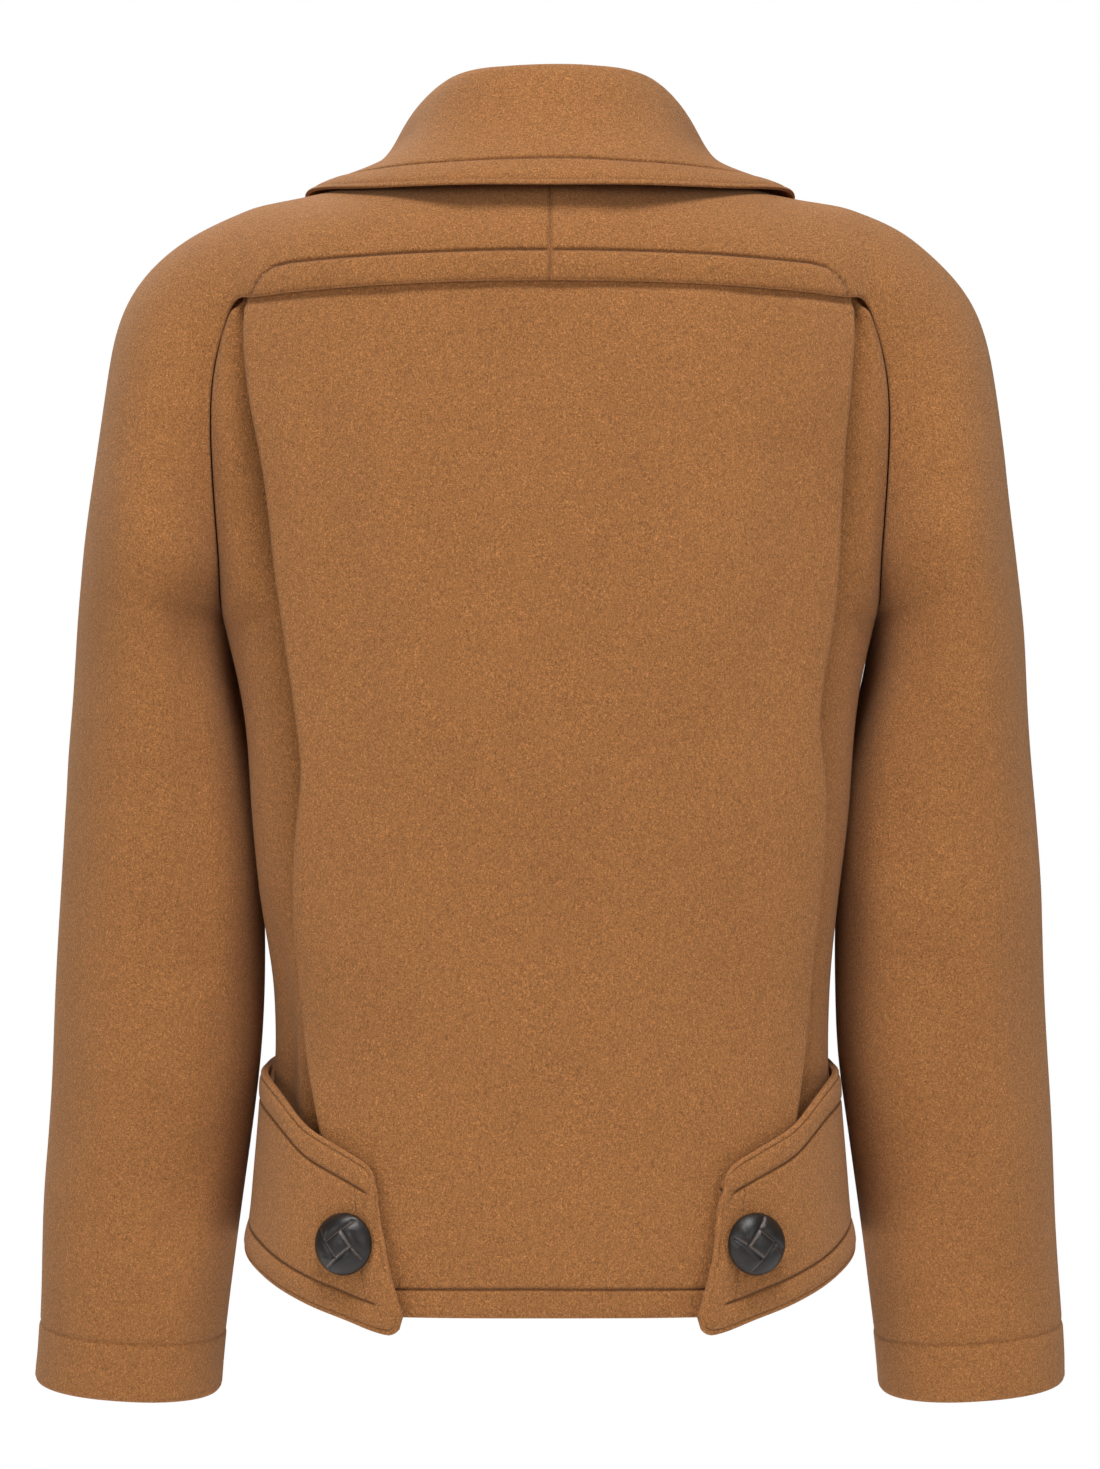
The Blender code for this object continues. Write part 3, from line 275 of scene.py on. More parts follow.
# ---------------------------------------------------------------- collar
# Seven lines run along the collar, from its neck seam over the fold to its edge. Each has the
# same stations from the centre back to the front end, each x, y, z in millimetres.
COLLAR_LINES = {
    "neck": (
        (0, 60, 16), (27, 55, 16), (48, 41, 16), (63, 17, 16),
        (67, -15, 15), (65, -50, 10), (61, -71, 4),
    ),
    "stand": (
        (0, 57, 42), (26, 52, 42), (45, 36, 42), (57, 13, 42),
        (63, -18, 36), (62, -50, 25), (57, -71, 16),
    ),
    "fold": (
        (0, 58, 62), (25, 54, 62), (43, 37, 61.5), (51, 13, 59.5),
        (57, -19, 50), (58, -53, 35), (53, -75, 24),
    ),
    "turn": (
        (0, 69, 63), (29, 64, 62.5), (51, 45, 61), (63, 15, 58),
        (69, -23, 49), (70, -61, 33), (63, -85, 21),
    ),
    "fall": (
        (0, 79, 42), (34, 73, 42), (61, 51, 41.5), (75, 17, 41),
        (83, -25, 35), (84, -68, 18), (77, -92, 4),
    ),
    "stitch": (
        (0, 91, 20), (41, 85, 20), (72, 61, 21), (86, 22, 21.5),
        (99, -26, 17.5), (102, -71, 4), (96, -96, -11),
    ),
    "edge": (
        (0, 108, -2), (50, 104, -1.5), (98, 74, 0), (129, 22, 1.5),
        (136, -35, 0), (128, -76, -13), (113, -102, -29),
    ),
}
# How far each line keeps off the body form, in the same order.
COLLAR_CLEARANCE = {
    "neck": 0.0002, "stand": 0.0, "fold": 0.0, "turn": 0.0,
    "fall": 0.0095, "stitch": 0.0085, "edge": 0.0062,
}
COLLAR_CLOTH = 0.0025

# ---------------------------------------------------------------- buttons
BUTTON_RADIUS = 0.0165
BUTTON_DOME = 0.0075
BUTTON_RIM = 0.0030
SHANK_RADIUS = 0.0045
BUTTON_STANDOFF = 0.0016
TAB_BUTTON = (0.1045, -0.5640)           # x and z on each tab
FRONT_BUTTON_X = 0.055
FRONT_BUTTON_ROWS = (-0.222, -0.312, -0.402, -0.516)

# ---------------------------------------------------------------- finer form of the cloth
WAVES = (              # direction, wave length, height and phase of the cloth's low waves
    ((0.80, 0.20, 0.55), 0.083, 0.00030, 0.4),
    ((-0.35, 0.30, 0.90), 0.121, 0.00042, 1.9),
    ((0.10, 0.95, -0.30), 0.061, 0.00022, 3.1),
    ((0.95, -0.10, -0.25), 0.047, 0.00016, 5.0),
)
# Soft troughs (+) and ridges (-): back (1) or front (-1) of the coat, the line's ends as x and z, its width
# and its depth.
CREASES = (
    (1, 0.118, -0.120, 0.098, -0.330, 0.015, 0.0020),
    (1, 0.082, -0.230, 0.088, -0.430, 0.022, -0.0014),
    (1, -0.128, -0.150, -0.118, -0.300, 0.014, 0.0016),
    (1, -0.075, -0.300, -0.082, -0.470, 0.026, 0.0014),
    (1, 0.020, -0.090, 0.034, -0.200, 0.030, 0.0010),
    (1, -0.040, -0.440, -0.020, -0.560, 0.024, -0.0012),
    (1, 0.050, -0.480, 0.066, -0.570, 0.018, 0.0016),
    (1, 0.196, -0.230, 0.188, -0.420, 0.011, 0.0028),
    (1, 0.214, -0.120, 0.226, -0.300, 0.018, -0.0018),
    (1, 0.216, -0.400, 0.205, -0.560, 0.013, 0.0020),
    (1, 0.250, -0.330, 0.262, -0.520, 0.016, 0.0014),
    (1, 0.186, -0.520, 0.214, -0.600, 0.010, 0.0016),
    (1, -0.200, -0.200, -0.186, -0.360, 0.013, 0.0026),
    (1, -0.226, -0.150, -0.238, -0.330, 0.019, -0.0016),
    (1, -0.206, -0.420, -0.224, -0.590, 0.014, 0.0021),
    (1, -0.252, -0.400, -0.262, -0.560, 0.013, 0.0013),
    (-1, 0.205, -0.180, 0.190, -0.360, 0.013, 0.0025),
    (-1, 0.232, -0.320, 0.212, -0.470, 0.014, 0.0022),
    (-1, 0.245, -0.470, 0.226, -0.600, 0.012, 0.0016),
    (-1, -0.208, -0.170, -0.192, -0.330, 0.014, 0.0026),
    (-1, -0.228, -0.350, -0.210, -0.500, 0.013, 0.0020),
    (-1, -0.250, -0.480, -0.236, -0.610, 0.013, 0.0015),
    (-1, 0.130, -0.200, 0.118, -0.400, 0.020, 0.0016),
    (-1, -0.134, -0.220, -0.112, -0.380, 0.018, 0.0018),
    (-1, -0.090, -0.380, -0.108, -0.460, 0.016, 0.0012),
)
CREASE_HALVES = (-0.030, 0.015)    # y between which a crease of the back or the front fades in
CALM = 0.016           # creases and waves die out this near a border
FRONT_CALM = 0.030     # the fronts' die out over this height up to the break
LAPEL_WORK = (1.0, 0.0013)         # share of the creases and waves that a lapel has, and its rise
COLLAR_WORK = (0.6, 0.0008)
SIDE_TUCK_RUN = (-0.0680, -0.0590) # the back's side dips under the yoke between these heights
CORNER_DRAWN = (0.022, -0.560, -0.598)  # how far the back hem's corners are drawn in, and from where to where
PLEAT_SHADE = (0.0015, 0.0050)     # how much deeper the right and the left side dip beside the pleat
PLEAT_SHADE_WIDTH = 0.10
PLEAT_SHADE_RUN = (0.075, 0.120)   # distances below z = 0 over which that grows
LAPPED = 0.0023        # how far the panel comes up again just below the yoke's hem
LAPPED_RUN = (0.007, 0.012, 0.045) # it is up at the first distance below the hem, and gone between the others
HEM_STITCH = 0.0155    # distance of the back hem's stitch line from its edge
EDGE_STITCH = 0.0165   # the same along the yoke, the tabs, the fronts and the lapels
COLLAR_STITCH = 0.0185
GROOVE_DEPTH = 0.0013
GROOVE_WIDTH = 0.0010
LAYER_LINE = (0.0031, 0.0009, 0.0007)   # the seam between two layers: distance from the edge, depth and width
YOKE_PUFF = 0.0008     # swell of the cloth between an edge and its stitch line
PLAIN_PUFF = 0.0004
BAND_PUFF = 0.0007
COLLAR_PUFF = 0.0006
YOKE_PUFF_END = 0.150  # distance from the centre where the yoke's swell starts to fade
FRONT_SEWN = (0.004, 0.016)        # the fronts' sewn edge fades in between these distances below the break
FRONT_FIRST_STITCH = 0.010
BAND_END_SEWN = (0.35, 0.002)      # how faint the groove across the band's ends is, and over what it fades
RELIEF_THROUGH = 0.6   # share of the relief that the cloth's inside follows
GROOVE_SHADE_DEPTH = 0.0012 # depth at which a groove gets its full painted shade in the wool's colour
SEAM_SHADE = 0.55    # how much painted shade the border of a sewn edge gets
CUFF_TURN = 0.0330     # how far up the cuff its turned hem ends
CUFF_GROOVE = (0.0005, 0.0016)     # depth and width of the line there
CUFF_LIFT = (0.0004, 0.0030)       # how much thicker the cuff is below it, and over what distance that grows
SEAM_CLOSED = 0.00006  # sewn edges press into each other by this much
SEAM_ROUND = 0.0009    # radius of the cloth's edge where it runs into a seam
EDGE_ROUND = 0.0019    # radius of a free edge
HEMMED = (SEAM_ROUND, EDGE_ROUND, SEAM_ROUND, SEAM_ROUND)   # a piece with three seams and a hem at its foot
PLAIN_TURNS = 6        # faces round a seam's edge and round a layered one
LAYERED_TURNS = 12
LAYER_DIP = 0.50       # how deep the seam between two layers lies in their edge, as a share
LAYER_AT = 1.85        # where it lies round the edge, in radians from the outside
LAYER_WIDTH = 0.26
# A grid's lines: distances from each border, distances from a stitch line, and between them the first line,
# how far the last one stays off the stitch line, and the step.
BORDER_LINES = (0.0, 0.0025, 0.0031, 0.0038, 0.0056, 0.0080)
STITCH_LINES = (-0.0032, -0.0020, -0.0012, -0.0006, 0.0, 0.0006, 0.0012, 0.0020, 0.0032)
BETWEEN_LINES = (0.0108, 0.0042, 0.003)
# Size of a grid's faces away from those, down the piece and across it.
STEPS = {
    "sleeve": (0.0032, 0.0038), "back_side": (0.0036, 0.0032), "front": (0.0036, 0.0036),
    "lapel": (0.0034, 0.0030), "waistband": (0.0034, 0.0034), "collar": (0.0034, 0.0032),
}
BACK_STEP = 0.0034
COLLAR_LAST = 0.002    # room left before the collar's last border
# Where rows lie closer: between two distances from the first row, and their step there.
SLEEVE_CLOSE = (0.138, 0.172, 0.0012)
BACK_CLOSE = (0.009, 0.030, 0.0016)
SIDE_CLOSE = (0.009, 0.030, 0.0014)
DENSE_ROWS = 1201      # readings down a surface, from which its rows are placed
DENSE_COLUMNS = 501    # readings across it
BACK_HALF = (76, 1.5)  # columns in half of the back panel, and how they crowd towards its fold
FOLD_TURNS = 13        # columns round the fold
FOLD_UNDER = (2.35, 2.7, 3.0)      # columns on the cloth turned under, past the fold's end at 2
CORNER_ROWS = (13, 1.5)            # rows in the rounding of a tab's end, and how they crowd there
CORNER_SPAN = 3                    # how much of u they take up
YOKE_STITCH_TURN = (   # where the yoke's stitch line turns down: distance from the centre, then from the hem
    (0.0000, 0.0165), (0.1420, 0.0165), (0.1520, 0.0152),
    (0.1590, 0.0118), (0.1635, 0.0068), (0.1660, 0.0010),
)

# ---------------------------------------------------------------- sewing and buttons
STITCH_SHARE = 0.74    # how much of a pitch the thread covers
STITCH_SIDES = 5
THREAD = 0.00062       # thickness of the thread
THREAD_LIFT = 0.00008
# Along a stitch, from end to end: places as shares of its half length, and its thickness there.
STITCH_PLACES = (-1.0, -0.86, -0.45, 0.45, 0.86, 1.0)
STITCH_THICK = (0.15, 0.62, 1.0, 1.0, 0.62, 0.15)
HEM_STITCH_END = 1.25  # the hem's stitches end a quarter of the way round the fold
LAPEL_STITCH_ROW = 3
LAPEL_STITCH_SHORT = 6 # columns before the lapel's middle at which its top stitches end
BUTTON_CELLS = 46      # faces across a button
BUTTON_TURN = math.radians(38)
BUTTON_SPIN = 0.7      # each front button is turned by this much more than the one above
DOME_SHAPE = (2.3, 0.75)
STRAP = 0.0056         # half width of the strap in the middle of a button
STRAP_GROOVE = 0.0011  # depth of the line between straps
STRAP_EDGE = 0.00060   # its half width
STRAP_LIP = (0.00065, 5)           # height of a strap's edge over its neighbour, and its reach in half widths
STRAP_CROWN = (0.6, 4.5)           # crown of a strap in depths of the line, and its reach
STRAP_SUNK = 0.5       # how far the straps are sunk, in depths of the line
STRAP_WORN = (0.9, 0.55)           # place and width of the worn edge in half widths
BUTTON_FADE = (0.80, 0.98)         # the straps' relief fades between these shares of the radius
SHANK = SHANK_RADIUS / BUTTON_RADIUS
# The button from its rim down to the cloth: share of the radius, and height over the cloth.
BUTTON_UNDER = (
    (0.97, BUTTON_STANDOFF + 0.125 * BUTTON_RIM), (0.86, BUTTON_STANDOFF), (0.55, BUTTON_STANDOFF),
    (SHANK, BUTTON_STANDOFF), (SHANK, 0.0),
)

# ---------------------------------------------------------------- stage
CAMERA_PLACE = (0.0, 2.8, -0.294)
CAMERA_TARGET = (0.0, 0.0, -0.294)
FRAME_HEIGHT = 0.80795 # height of the picture at the coat's middle
SENSOR = 24.0          # height of the camera's sensor in millimetres
FLOOR_Z = -1.15
FLOOR_RINGS = (0.8, 1.8, 3.0)
FLOOR_SIDES = 96
FLOOR_GLOW = 0.12
LIGHTS = (             # name, place, diameter and share of the power
    ("key", (-0.1, 1.3, 3.0), 1.5, 1.08),
    ("fill_left", (2.2, 2.9, 0.5), 1.6, 0.26),
    ("fill_right", (-2.0, 3.0, 0.5), 1.6, 0.22),
    ("front_key", (1.2, -2.8, 1.9), 2.2, 0.8),
)


# ================================================================ tables and curves
def column(table, names, name):
    return np.array([row[names.index(name)] for row in table], float)


def smooth(at, xs, ys):
    """A natural cubic spline through (xs, ys), read at the given places and held past its ends."""
    xs, ys = np.asarray(xs, float), np.asarray(ys, float)
    count = len(xs)
    step = np.diff(xs)
    matrix, right = np.eye(count), np.zeros(count)
    for i in range(1, count - 1):
        matrix[i, i - 1:i + 2] = step[i - 1], 2 * (step[i - 1] + step[i]), step[i]
        right[i] = 6 * ((ys[i + 1] - ys[i]) / step[i] - (ys[i] - ys[i - 1]) / step[i - 1])
    bend = np.linalg.solve(matrix, right)
    at = np.clip(np.asarray(at, float), xs[0], xs[-1])
    i = np.clip(np.searchsorted(xs, at) - 1, 0, count - 2)
    h, left, reach = step[i], at - xs[i], xs[i + 1] - at
    return (
        bend[i] * reach ** 3 / (6 * h) + bend[i + 1] * left ** 3 / (6 * h)
        + (ys[i] / h - bend[i] * h / 6) * reach + (ys[i + 1] / h - bend[i + 1] * h / 6) * left
    )


def mirrored_spline(at, xs, ys):
    """A spline through points and their mirror image about 0, so that it is level at the centre."""
    xs, ys = np.asarray(xs, float), np.asarray(ys, float)
    sign = -1.0 if ys[0] == 0 and np.ptp(ys) > 0 else 1.0
    return smooth(at, np.concatenate([-xs[:0:-1], xs]), np.concatenate([sign * ys[:0:-1], ys]))


def read(table, names, name, at):
    """A column of a table, read against its first column."""
    return smooth(at, column(table, names, names[0]), column(table, names, name))


def step_up(value, low, high):
    """0 below low, 1 above high, with an even S between them."""
    t = np.clip((value - low) / (high - low), 0, 1)
    return t * t * (3 - 2 * t)


def power(value, exponent):
    return np.abs(value) ** exponent


def squared(share, squareness=SHOULDER_ROUND):
    """The other coordinate of a rounded square's outline, for a share of its half width."""
    return (1 - np.clip(share, 0, 1) ** squareness) ** (1 / squareness)


# ================================================================ the body form
def yoke_hem(x):
    return YOKE_HEM - YOKE_HEM_DROP * (np.minimum(np.abs(x), YOKE_CORNER) / YOKE_CORNER) ** 2


def body(angle, z, out=0.0):
    """A point of the body form: plan angle in radians from the centre back, + to the wearer's left."""
    angle, z = np.broadcast_arrays(np.asarray(angle, float), np.asarray(z, float))
    level = np.minimum(z, YOKE_HEM_LEVEL)
    side, square, press = (read(BODY, BODY_COLUMNS, n, level) for n in ("side", "square", "press"))
    depth = np.where(
        np.cos(angle) >= 0,
        read(BODY, BODY_COLUMNS, "back", level),
        -read(BODY, BODY_COLUMNS, "front", level),
    )
    x = side * np.sign(np.sin(angle)) * power(np.sin(angle), 2 / square)
    y = depth * power(np.cos(angle), 2 / square)
    press = press * step_up(np.abs(x), *PRESS_STARTS)
    x = x - np.sign(x) * press * np.exp(-(((y - PRESS_CENTRE) / PRESS_REACH) ** 2))
    hem, top = yoke_hem(x), read(RIDGE, RIDGE_COLUMNS, "height", np.abs(x))
    crest = read(RIDGE, RIDGE_COLUMNS, "depth", np.abs(x))
    over = np.clip((z - hem) / (top - hem), 0, 1)
    middle = crest * step_up(over, 0, 1)
    y = middle + (y - middle) * squared(over)
    point = np.stack([x, y, z], axis=-1)
    if np.any(out):
        point = point + np.asarray(out)[..., None] * body_normal(angle, z)
    return point


def body_normal(angle, z):
    """The way out of the body form, evened over a few millimetres so that its levels leave no kink."""
    small = 1e-3
    across = body(angle + small, z) - body(angle - small, z)
    up = body(angle, z + NORMAL_REACH) - body(angle, z - NORMAL_REACH)
    return -unit(np.cross(across, up))


def unit(v):
    return v / np.maximum(np.linalg.norm(v, axis=-1, keepdims=True), 1e-12)


def angle_at(x, z, front=False):
    """The plan angle at which the form reaches that x at that height, press left out."""
    level = np.minimum(z, YOKE_HEM_LEVEL)
    side = read(BODY, BODY_COLUMNS, "side", level)
    square = read(BODY, BODY_COLUMNS, "square", level)
    angle = np.arcsin(np.clip(power(x / side, square / 2), 0, 1)) * np.sign(x)
    return math.pi - angle if front else angle


def surface_normals(surface, u, v):
    small = 1e-4
    du = surface(u + small, v) - surface(u - small, v)
    dv = surface(u, v + small) - surface(u, v - small)
    return unit(np.cross(du, dv))


# ================================================================ sleeves with the yoke
YOKE_ROWS = (0.0, 0.026, 0.050, 0.068, 0.086, 0.106, 0.126, 0.146, 0.160)
KEY_NAMES = (
    "seam_x", "seam_z", "past_back", "past_front", "crest_x", "crest_z", "crest_y", "back", "front", "droop",
)
RAGLAN_ROW = 3         # the section where the neck opening ends and the raglan seam starts
FIRST_FAN = len(YOKE_ROWS)
FIRST_TUBE = FIRST_FAN + len(FAN)
LAST_KEY = FIRST_TUBE + len(TUBE) - 1


def sleeve_keys():
    """One row for each section: its seam and crest points, how far past its middle each seam lies,
    and its depths behind and before."""
    keys = []
    for x in YOKE_ROWS:
        hem = float(yoke_hem(x))
        crest = float(read(RIDGE, RIDGE_COLUMNS, "depth", x))
        top = float(read(RIDGE, RIDGE_COLUMNS, "height", x))
        back = body(angle_at(x, hem), hem)[1]
        front = body(angle_at(x, hem, front=True), hem)[1]
        keys.append((x, hem, 0.0, 0.0, x, top, crest, back - crest, crest - front, 0.0))
    for angle, z, ex, ez, ey, full_back, full_front in FAN:
        back = body(math.radians(angle), z)
        front = body(math.pi - math.radians(angle), z)[1]
        behind, before = back[1] - ey + full_back, ey - front + full_front
        past = squared(1 - full_back / behind), squared(1 - full_front / before)
        keys.append((back[0], z, *past, ex, ez, ey, behind, before, 0.0))
    for in_x, in_z, out_x, out_z, mid, back, front, droop in TUBE:
        keys.append((in_x, in_z, 1.0, 1.0, out_x, out_z, mid, back, front, droop))
    return np.array(keys)


def neck_share(x):
    """Where the yoke's upper border lies on its section: 90 degrees at the hem, 0 on the ridge
    and negative in front."""
    hem = yoke_hem(x)
    depth = body(angle_at(x, hem), hem)[..., 1]
    behind = NECK_BACK * np.sqrt(np.clip(1 - (x / NECK_SIDE) ** 2, 0, 1))
    back_side = np.arcsin(np.clip(behind / depth, 0, 1) ** (SHOULDER_ROUND / 2))
    along = np.clip((x - NECK_SIDE) / (YOKE_CORNER - NECK_SIDE), 0, 1)
    return np.where(x < NECK_SIDE, back_side, -math.pi / 2 * along ** RAGLAN_BEND)


def sleeve_surface(keys, side):
    """The sleeve and its half of the yoke: u counts the sections, and v runs from 0 at the back seam
    to 1 at the front seam."""
    places = np.arange(len(keys))

    def surface(u, v):
        k = {name: smooth(u, places, keys[:, i]) for i, name in enumerate(KEY_NAMES)}
        squareness = SHOULDER_ROUND + (SLEEVE_ROUND - SHOULDER_ROUND) * step_up(u, FIRST_FAN, FIRST_TUBE)
        behind, before = (np.clip(k[name], 0, 1) for name in ("past_back", "past_front"))
        foot = math.pi / 2 + np.arcsin(behind ** (squareness / 2))
        top = -math.pi / 2 - np.arcsin(before ** (squareness / 2))
        top = np.where(u <= FIRST_FAN, neck_share(k["seam_x"]), top)
        angle = foot + (top - foot) * v
        inner = np.where(angle >= 0, behind, before)
        depth = np.where(angle >= 0, k["back"], k["front"])
        along = (inner + np.sign(np.cos(angle)) * power(np.cos(angle), 2 / squareness)) / (1 + inner)
        y = k["crest_y"] + np.sign(angle) * depth * power(np.sin(angle), 2 / squareness)
        x = k["seam_x"] + (k["crest_x"] - k["seam_x"]) * along
        z = k["seam_z"] + (k["crest_z"] - k["seam_z"]) * along - k["droop"] * (y - k["crest_y"])
        return np.stack([side * x, y, z], axis=-1)

    return surface


def raglan_line(x):
    """The front seam of the yoke: height and plan angle for each distance from the centre."""
    hem, top = yoke_hem(x), read(RIDGE, RIDGE_COLUMNS, "height", x)
    z = hem + (top - hem) * np.cos(neck_share(x)) ** (2 / SHOULDER_ROUND)
    return z, angle_at(x, hem, front=True)


def armhole_angle(z):
    angles = np.radians(column(FAN, FAN_COLUMNS, "angle"))[::-1]
    levels = column(FAN, FAN_COLUMNS, "z")[::-1]
    return np.where(z < levels[0], math.pi / 2, np.interp(z, levels, angles))


def band_edge(name, angle):
    return read(BAND, BAND_COLUMNS, name, np.degrees(np.abs(angle)))


def roll_line(z):
    """How far the roll line lies past the centre, towards the front's own side, at a height."""
    share = np.clip((z - BREAK) / (ROLL_TOP[1] - BREAK), 0, 1)
    return -FRONT_EDGE + (ROLL_TOP[0] + FRONT_EDGE) * share


def overlap_out(x, z):
    """How far the right front stands out, where x is + towards its own side."""
    across = 1 - step_up(x, FRONT_EDGE + OVERLAP_FADE[0], FRONT_EDGE + OVERLAP_FADE[1])
    return OVERLAP_OUT * across * (1 - step_up(z, *OVERLAP_TOP))


def front_angle(x, z):
    """The plan angle of a point of the front: half a turn is the centre, less is towards the own side."""
    return np.where(x >= 0, angle_at(np.abs(x), z, front=True), math.pi + angle_at(np.abs(x), z))


def laid_on(points, clearance):
    """Points moved out, away from the shoulder's centre line, to keep clear of the body form."""
    x = np.abs(points[..., 0])
    hem, top = yoke_hem(x), read(RIDGE, RIDGE_COLUMNS, "height", x)
    crest = read(RIDGE, RIDGE_COLUMNS, "depth", x)
    angle = np.where(points[..., 1] >= crest, angle_at(x, hem), angle_at(x, hem, front=True))
    depth = np.abs(body(angle, hem)[..., 1] - crest)
    high = top - hem
    y, z = points[..., 1] - crest, points[..., 2] - hem
    far = power(y / depth, SHOULDER_ROUND) + power(np.maximum(z, 0) / high, SHOULDER_ROUND)
    far = far ** (1 / SHOULDER_ROUND)
    wanted = 1 + clearance / np.sqrt(depth * high)
    grow = np.maximum(1, wanted / np.maximum(far, 1e-6))
    return np.stack([points[..., 0], crest + y * grow, hem + z * np.where(z > 0, grow, 1)], axis=-1)


def collar_lines():
    """Points for each line of the collar, from the centre back to the front end."""
    return np.array([
        laid_on(MM * np.array(points, float), COLLAR_CLEARANCE[name])
        for name, points in COLLAR_LINES.items()
    ])


# ================================================================ fine grids
def run(points, axis):
    """The distance run along a grid's lines from their first point."""
    steps = np.linalg.norm(np.diff(points, axis=axis), axis=-1)
    first = np.zeros_like(np.take(steps, [0], axis=axis))
    return np.concatenate([first, np.cumsum(steps, axis=axis)], axis=axis)


def run_back(points, axis):
    """The distance run along a grid's lines from their last point."""
    return np.flip(run(np.flip(points, axis), axis), axis)


def from_ends(points, axis):
    """The distance run along a grid's lines from the nearer end."""
    return np.minimum(run(points, axis), run_back(points, axis))


def border_steps(stitch=0.0):
    """Distances from a border at which a grid has lines: close at the edge and close round a stitch line."""
    steps = list(BORDER_LINES)
    if stitch:
        first, short, step = BETWEEN_LINES
        steps += list(np.arange(first, stitch - short, step))
        steps += list(stitch + np.array(STITCH_LINES))
    return np.array(steps)


def line_at(steps, distance):
    """Which of a border's lines lies at a distance."""
    return int(np.argmin(np.abs(steps - distance)))


def rows_along(surface, low, high, start, end, step, across, dense=(0.0, 0.0, 1.0)):
    """The u of each row: start and end give distances from the two ends, with even steps between them, all
    along the line where v is across. dense is an interval of distances and the step inside it."""
    u = np.linspace(low, high, DENSE_ROWS)
    far = run(surface(u, np.full_like(u, across)), 0)
    length = far[-1]
    even = np.arange(start[-1] + step, length - end[-1] - 0.5 * step, step)
    inside = np.arange(*dense)
    even = even[(even < dense[0] - 0.3 * step) | (even > dense[1] + 0.3 * step)]
    distances = np.sort(np.concatenate([start, even, inside, length - end]))
    return np.interp(distances, far, u)


def fine_grid(surface, u, v_low, v_high, start, end, step):
    """Points at each row's u, at the distances start and end from the two ends of the row and evenly between.
    The surface is read on a denser grid, and each row of that is walked along by its own arc length."""
    v = np.linspace(v_low, v_high, DENSE_COLUMNS)
    uu, vv = np.meshgrid(u, v, indexing="ij")
    dense = surface(uu, vv)
    far = run(dense, 1)
    length = far[:, -1:]
    room = np.minimum(1, 0.8 * length / (start[-1] + end[-1]))
    inner = int(round(float(np.max(length) - start[-1] - end[-1]) / step))
    middle = start[-1] * room + (length - (start[-1] + end[-1]) * room) * np.linspace(0, 1, inner + 1)[1:-1]
    at = np.concatenate([start * room, middle, length - end[::-1] * room], axis=1)
    offset = 2.0 * np.arange(len(u))[:, None]
    known, wanted = (far / length + offset).ravel(), (at / length + offset).ravel()
    points = [np.interp(wanted, known, dense[..., i].ravel()).reshape(at.shape) for i in range(3)]
    return np.stack(points, axis=-1)


def to_border(points):
    """Each point's distance to the nearest border of its grid, along the grid's lines."""
    down, across = run(points, 0), run(points, 1)
    return np.minimum(np.minimum(down, down[-1:] - down), np.minimum(across, across[:, -1:] - across))


def grid_normals(points):
    return unit(np.cross(np.gradient(points, axis=0), np.gradient(points, axis=1)))


def sample(grid, i, j):
    """A grid read at fractional rows and columns."""
    i0 = np.clip(np.floor(i).astype(int), 0, grid.shape[0] - 2)
    j0 = np.clip(np.floor(j).astype(int), 0, grid.shape[1] - 2)
    a, b = (i - i0)[:, None], (j - j0)[:, None]
    return (
        (grid[i0, j0] * (1 - b) + grid[i0, j0 + 1] * b) * (1 - a)
        + (grid[i0 + 1, j0] * (1 - b) + grid[i0 + 1, j0 + 1] * b) * a
    )


# ================================================================ relief
def groove(distance, at, depth=GROOVE_DEPTH, width=GROOVE_WIDTH):
    """A sewn line: the surface drops by depth where the distance is at, as a bell of that width."""
    return -depth * np.exp(-(((distance - at) / width) ** 2))


def puff(distance, at, height):
    """The cloth between an edge and its stitch line swells: height times the sine over that strip."""
    return height * np.sin(math.pi * np.clip(distance / at, 0, 1))


def layer_line(distance):
    """The seam between a doubled edge's two layers, rolled on to the face."""
    return groove(distance, *LAYER_LINE)


def to_polyline(a, b, line):
    """The least distance in the plane of a and b to a polyline."""
    best = np.full(np.shape(a), 1e9)
    for (a0, b0), (a1, b1) in zip(line[:-1], line[1:]):
        da, db = a1 - a0, b1 - b0
        t = np.clip(((a - a0) * da + (b - b0) * db) / (da * da + db * db), 0, 1)
        best = np.minimum(best, np.hypot(a - a0 - t * da, b - b0 - t * db))
    return best


def creases(points, table, strength):
    """Soft troughs and ridges seen from behind or before: depth times a bell of the distance, in the plane
    of x and z, to each row's line. A trough is positive, and a row's side says whether it is in the back."""
    total = np.zeros(points.shape[:-1])
    x, y, z = (points[..., i] for i in range(3))
    for side, x0, z0, x1, z1, width, depth in table:
        distance = to_polyline(x, z, ((x0, z0), (x1, z1)))
        half = step_up(side * y, *CREASE_HALVES)
        total += depth * np.exp(-((distance / width) ** 2)) * half
    return -strength * total


def unevenness(points):
    """Low waves of hand-worked cloth: sines of the place along slanted directions, added up."""
    total = np.zeros(points.shape[:-1])
    for way, length, height, phase in WAVES:
        total += height * np.sin(points @ np.array(way) * (2 * math.pi / length) + phase)
    return total


# ================================================================ walls with round edges
def loop_of(grid_values):
    """The border of a grid, once round."""
    g = grid_values
    return np.concatenate([g[0, :-1], g[:-1, -1], g[-1, :0:-1], g[:0:-1, 0]])


def grid_faces(index):
    """The quads between a grid's points, given as their numbers."""
    return np.stack([index[:-1, :-1], index[1:, :-1], index[1:, 1:], index[:-1, 1:]], -1).reshape(-1, 4)


def loop_faces(loops):
    """The quads between each closed loop of points and the next."""
    return [
        np.stack([low, np.roll(low, -1), np.roll(high, -1), high], -1)
        for low, high in zip(loops[:-1], loops[1:])
    ]


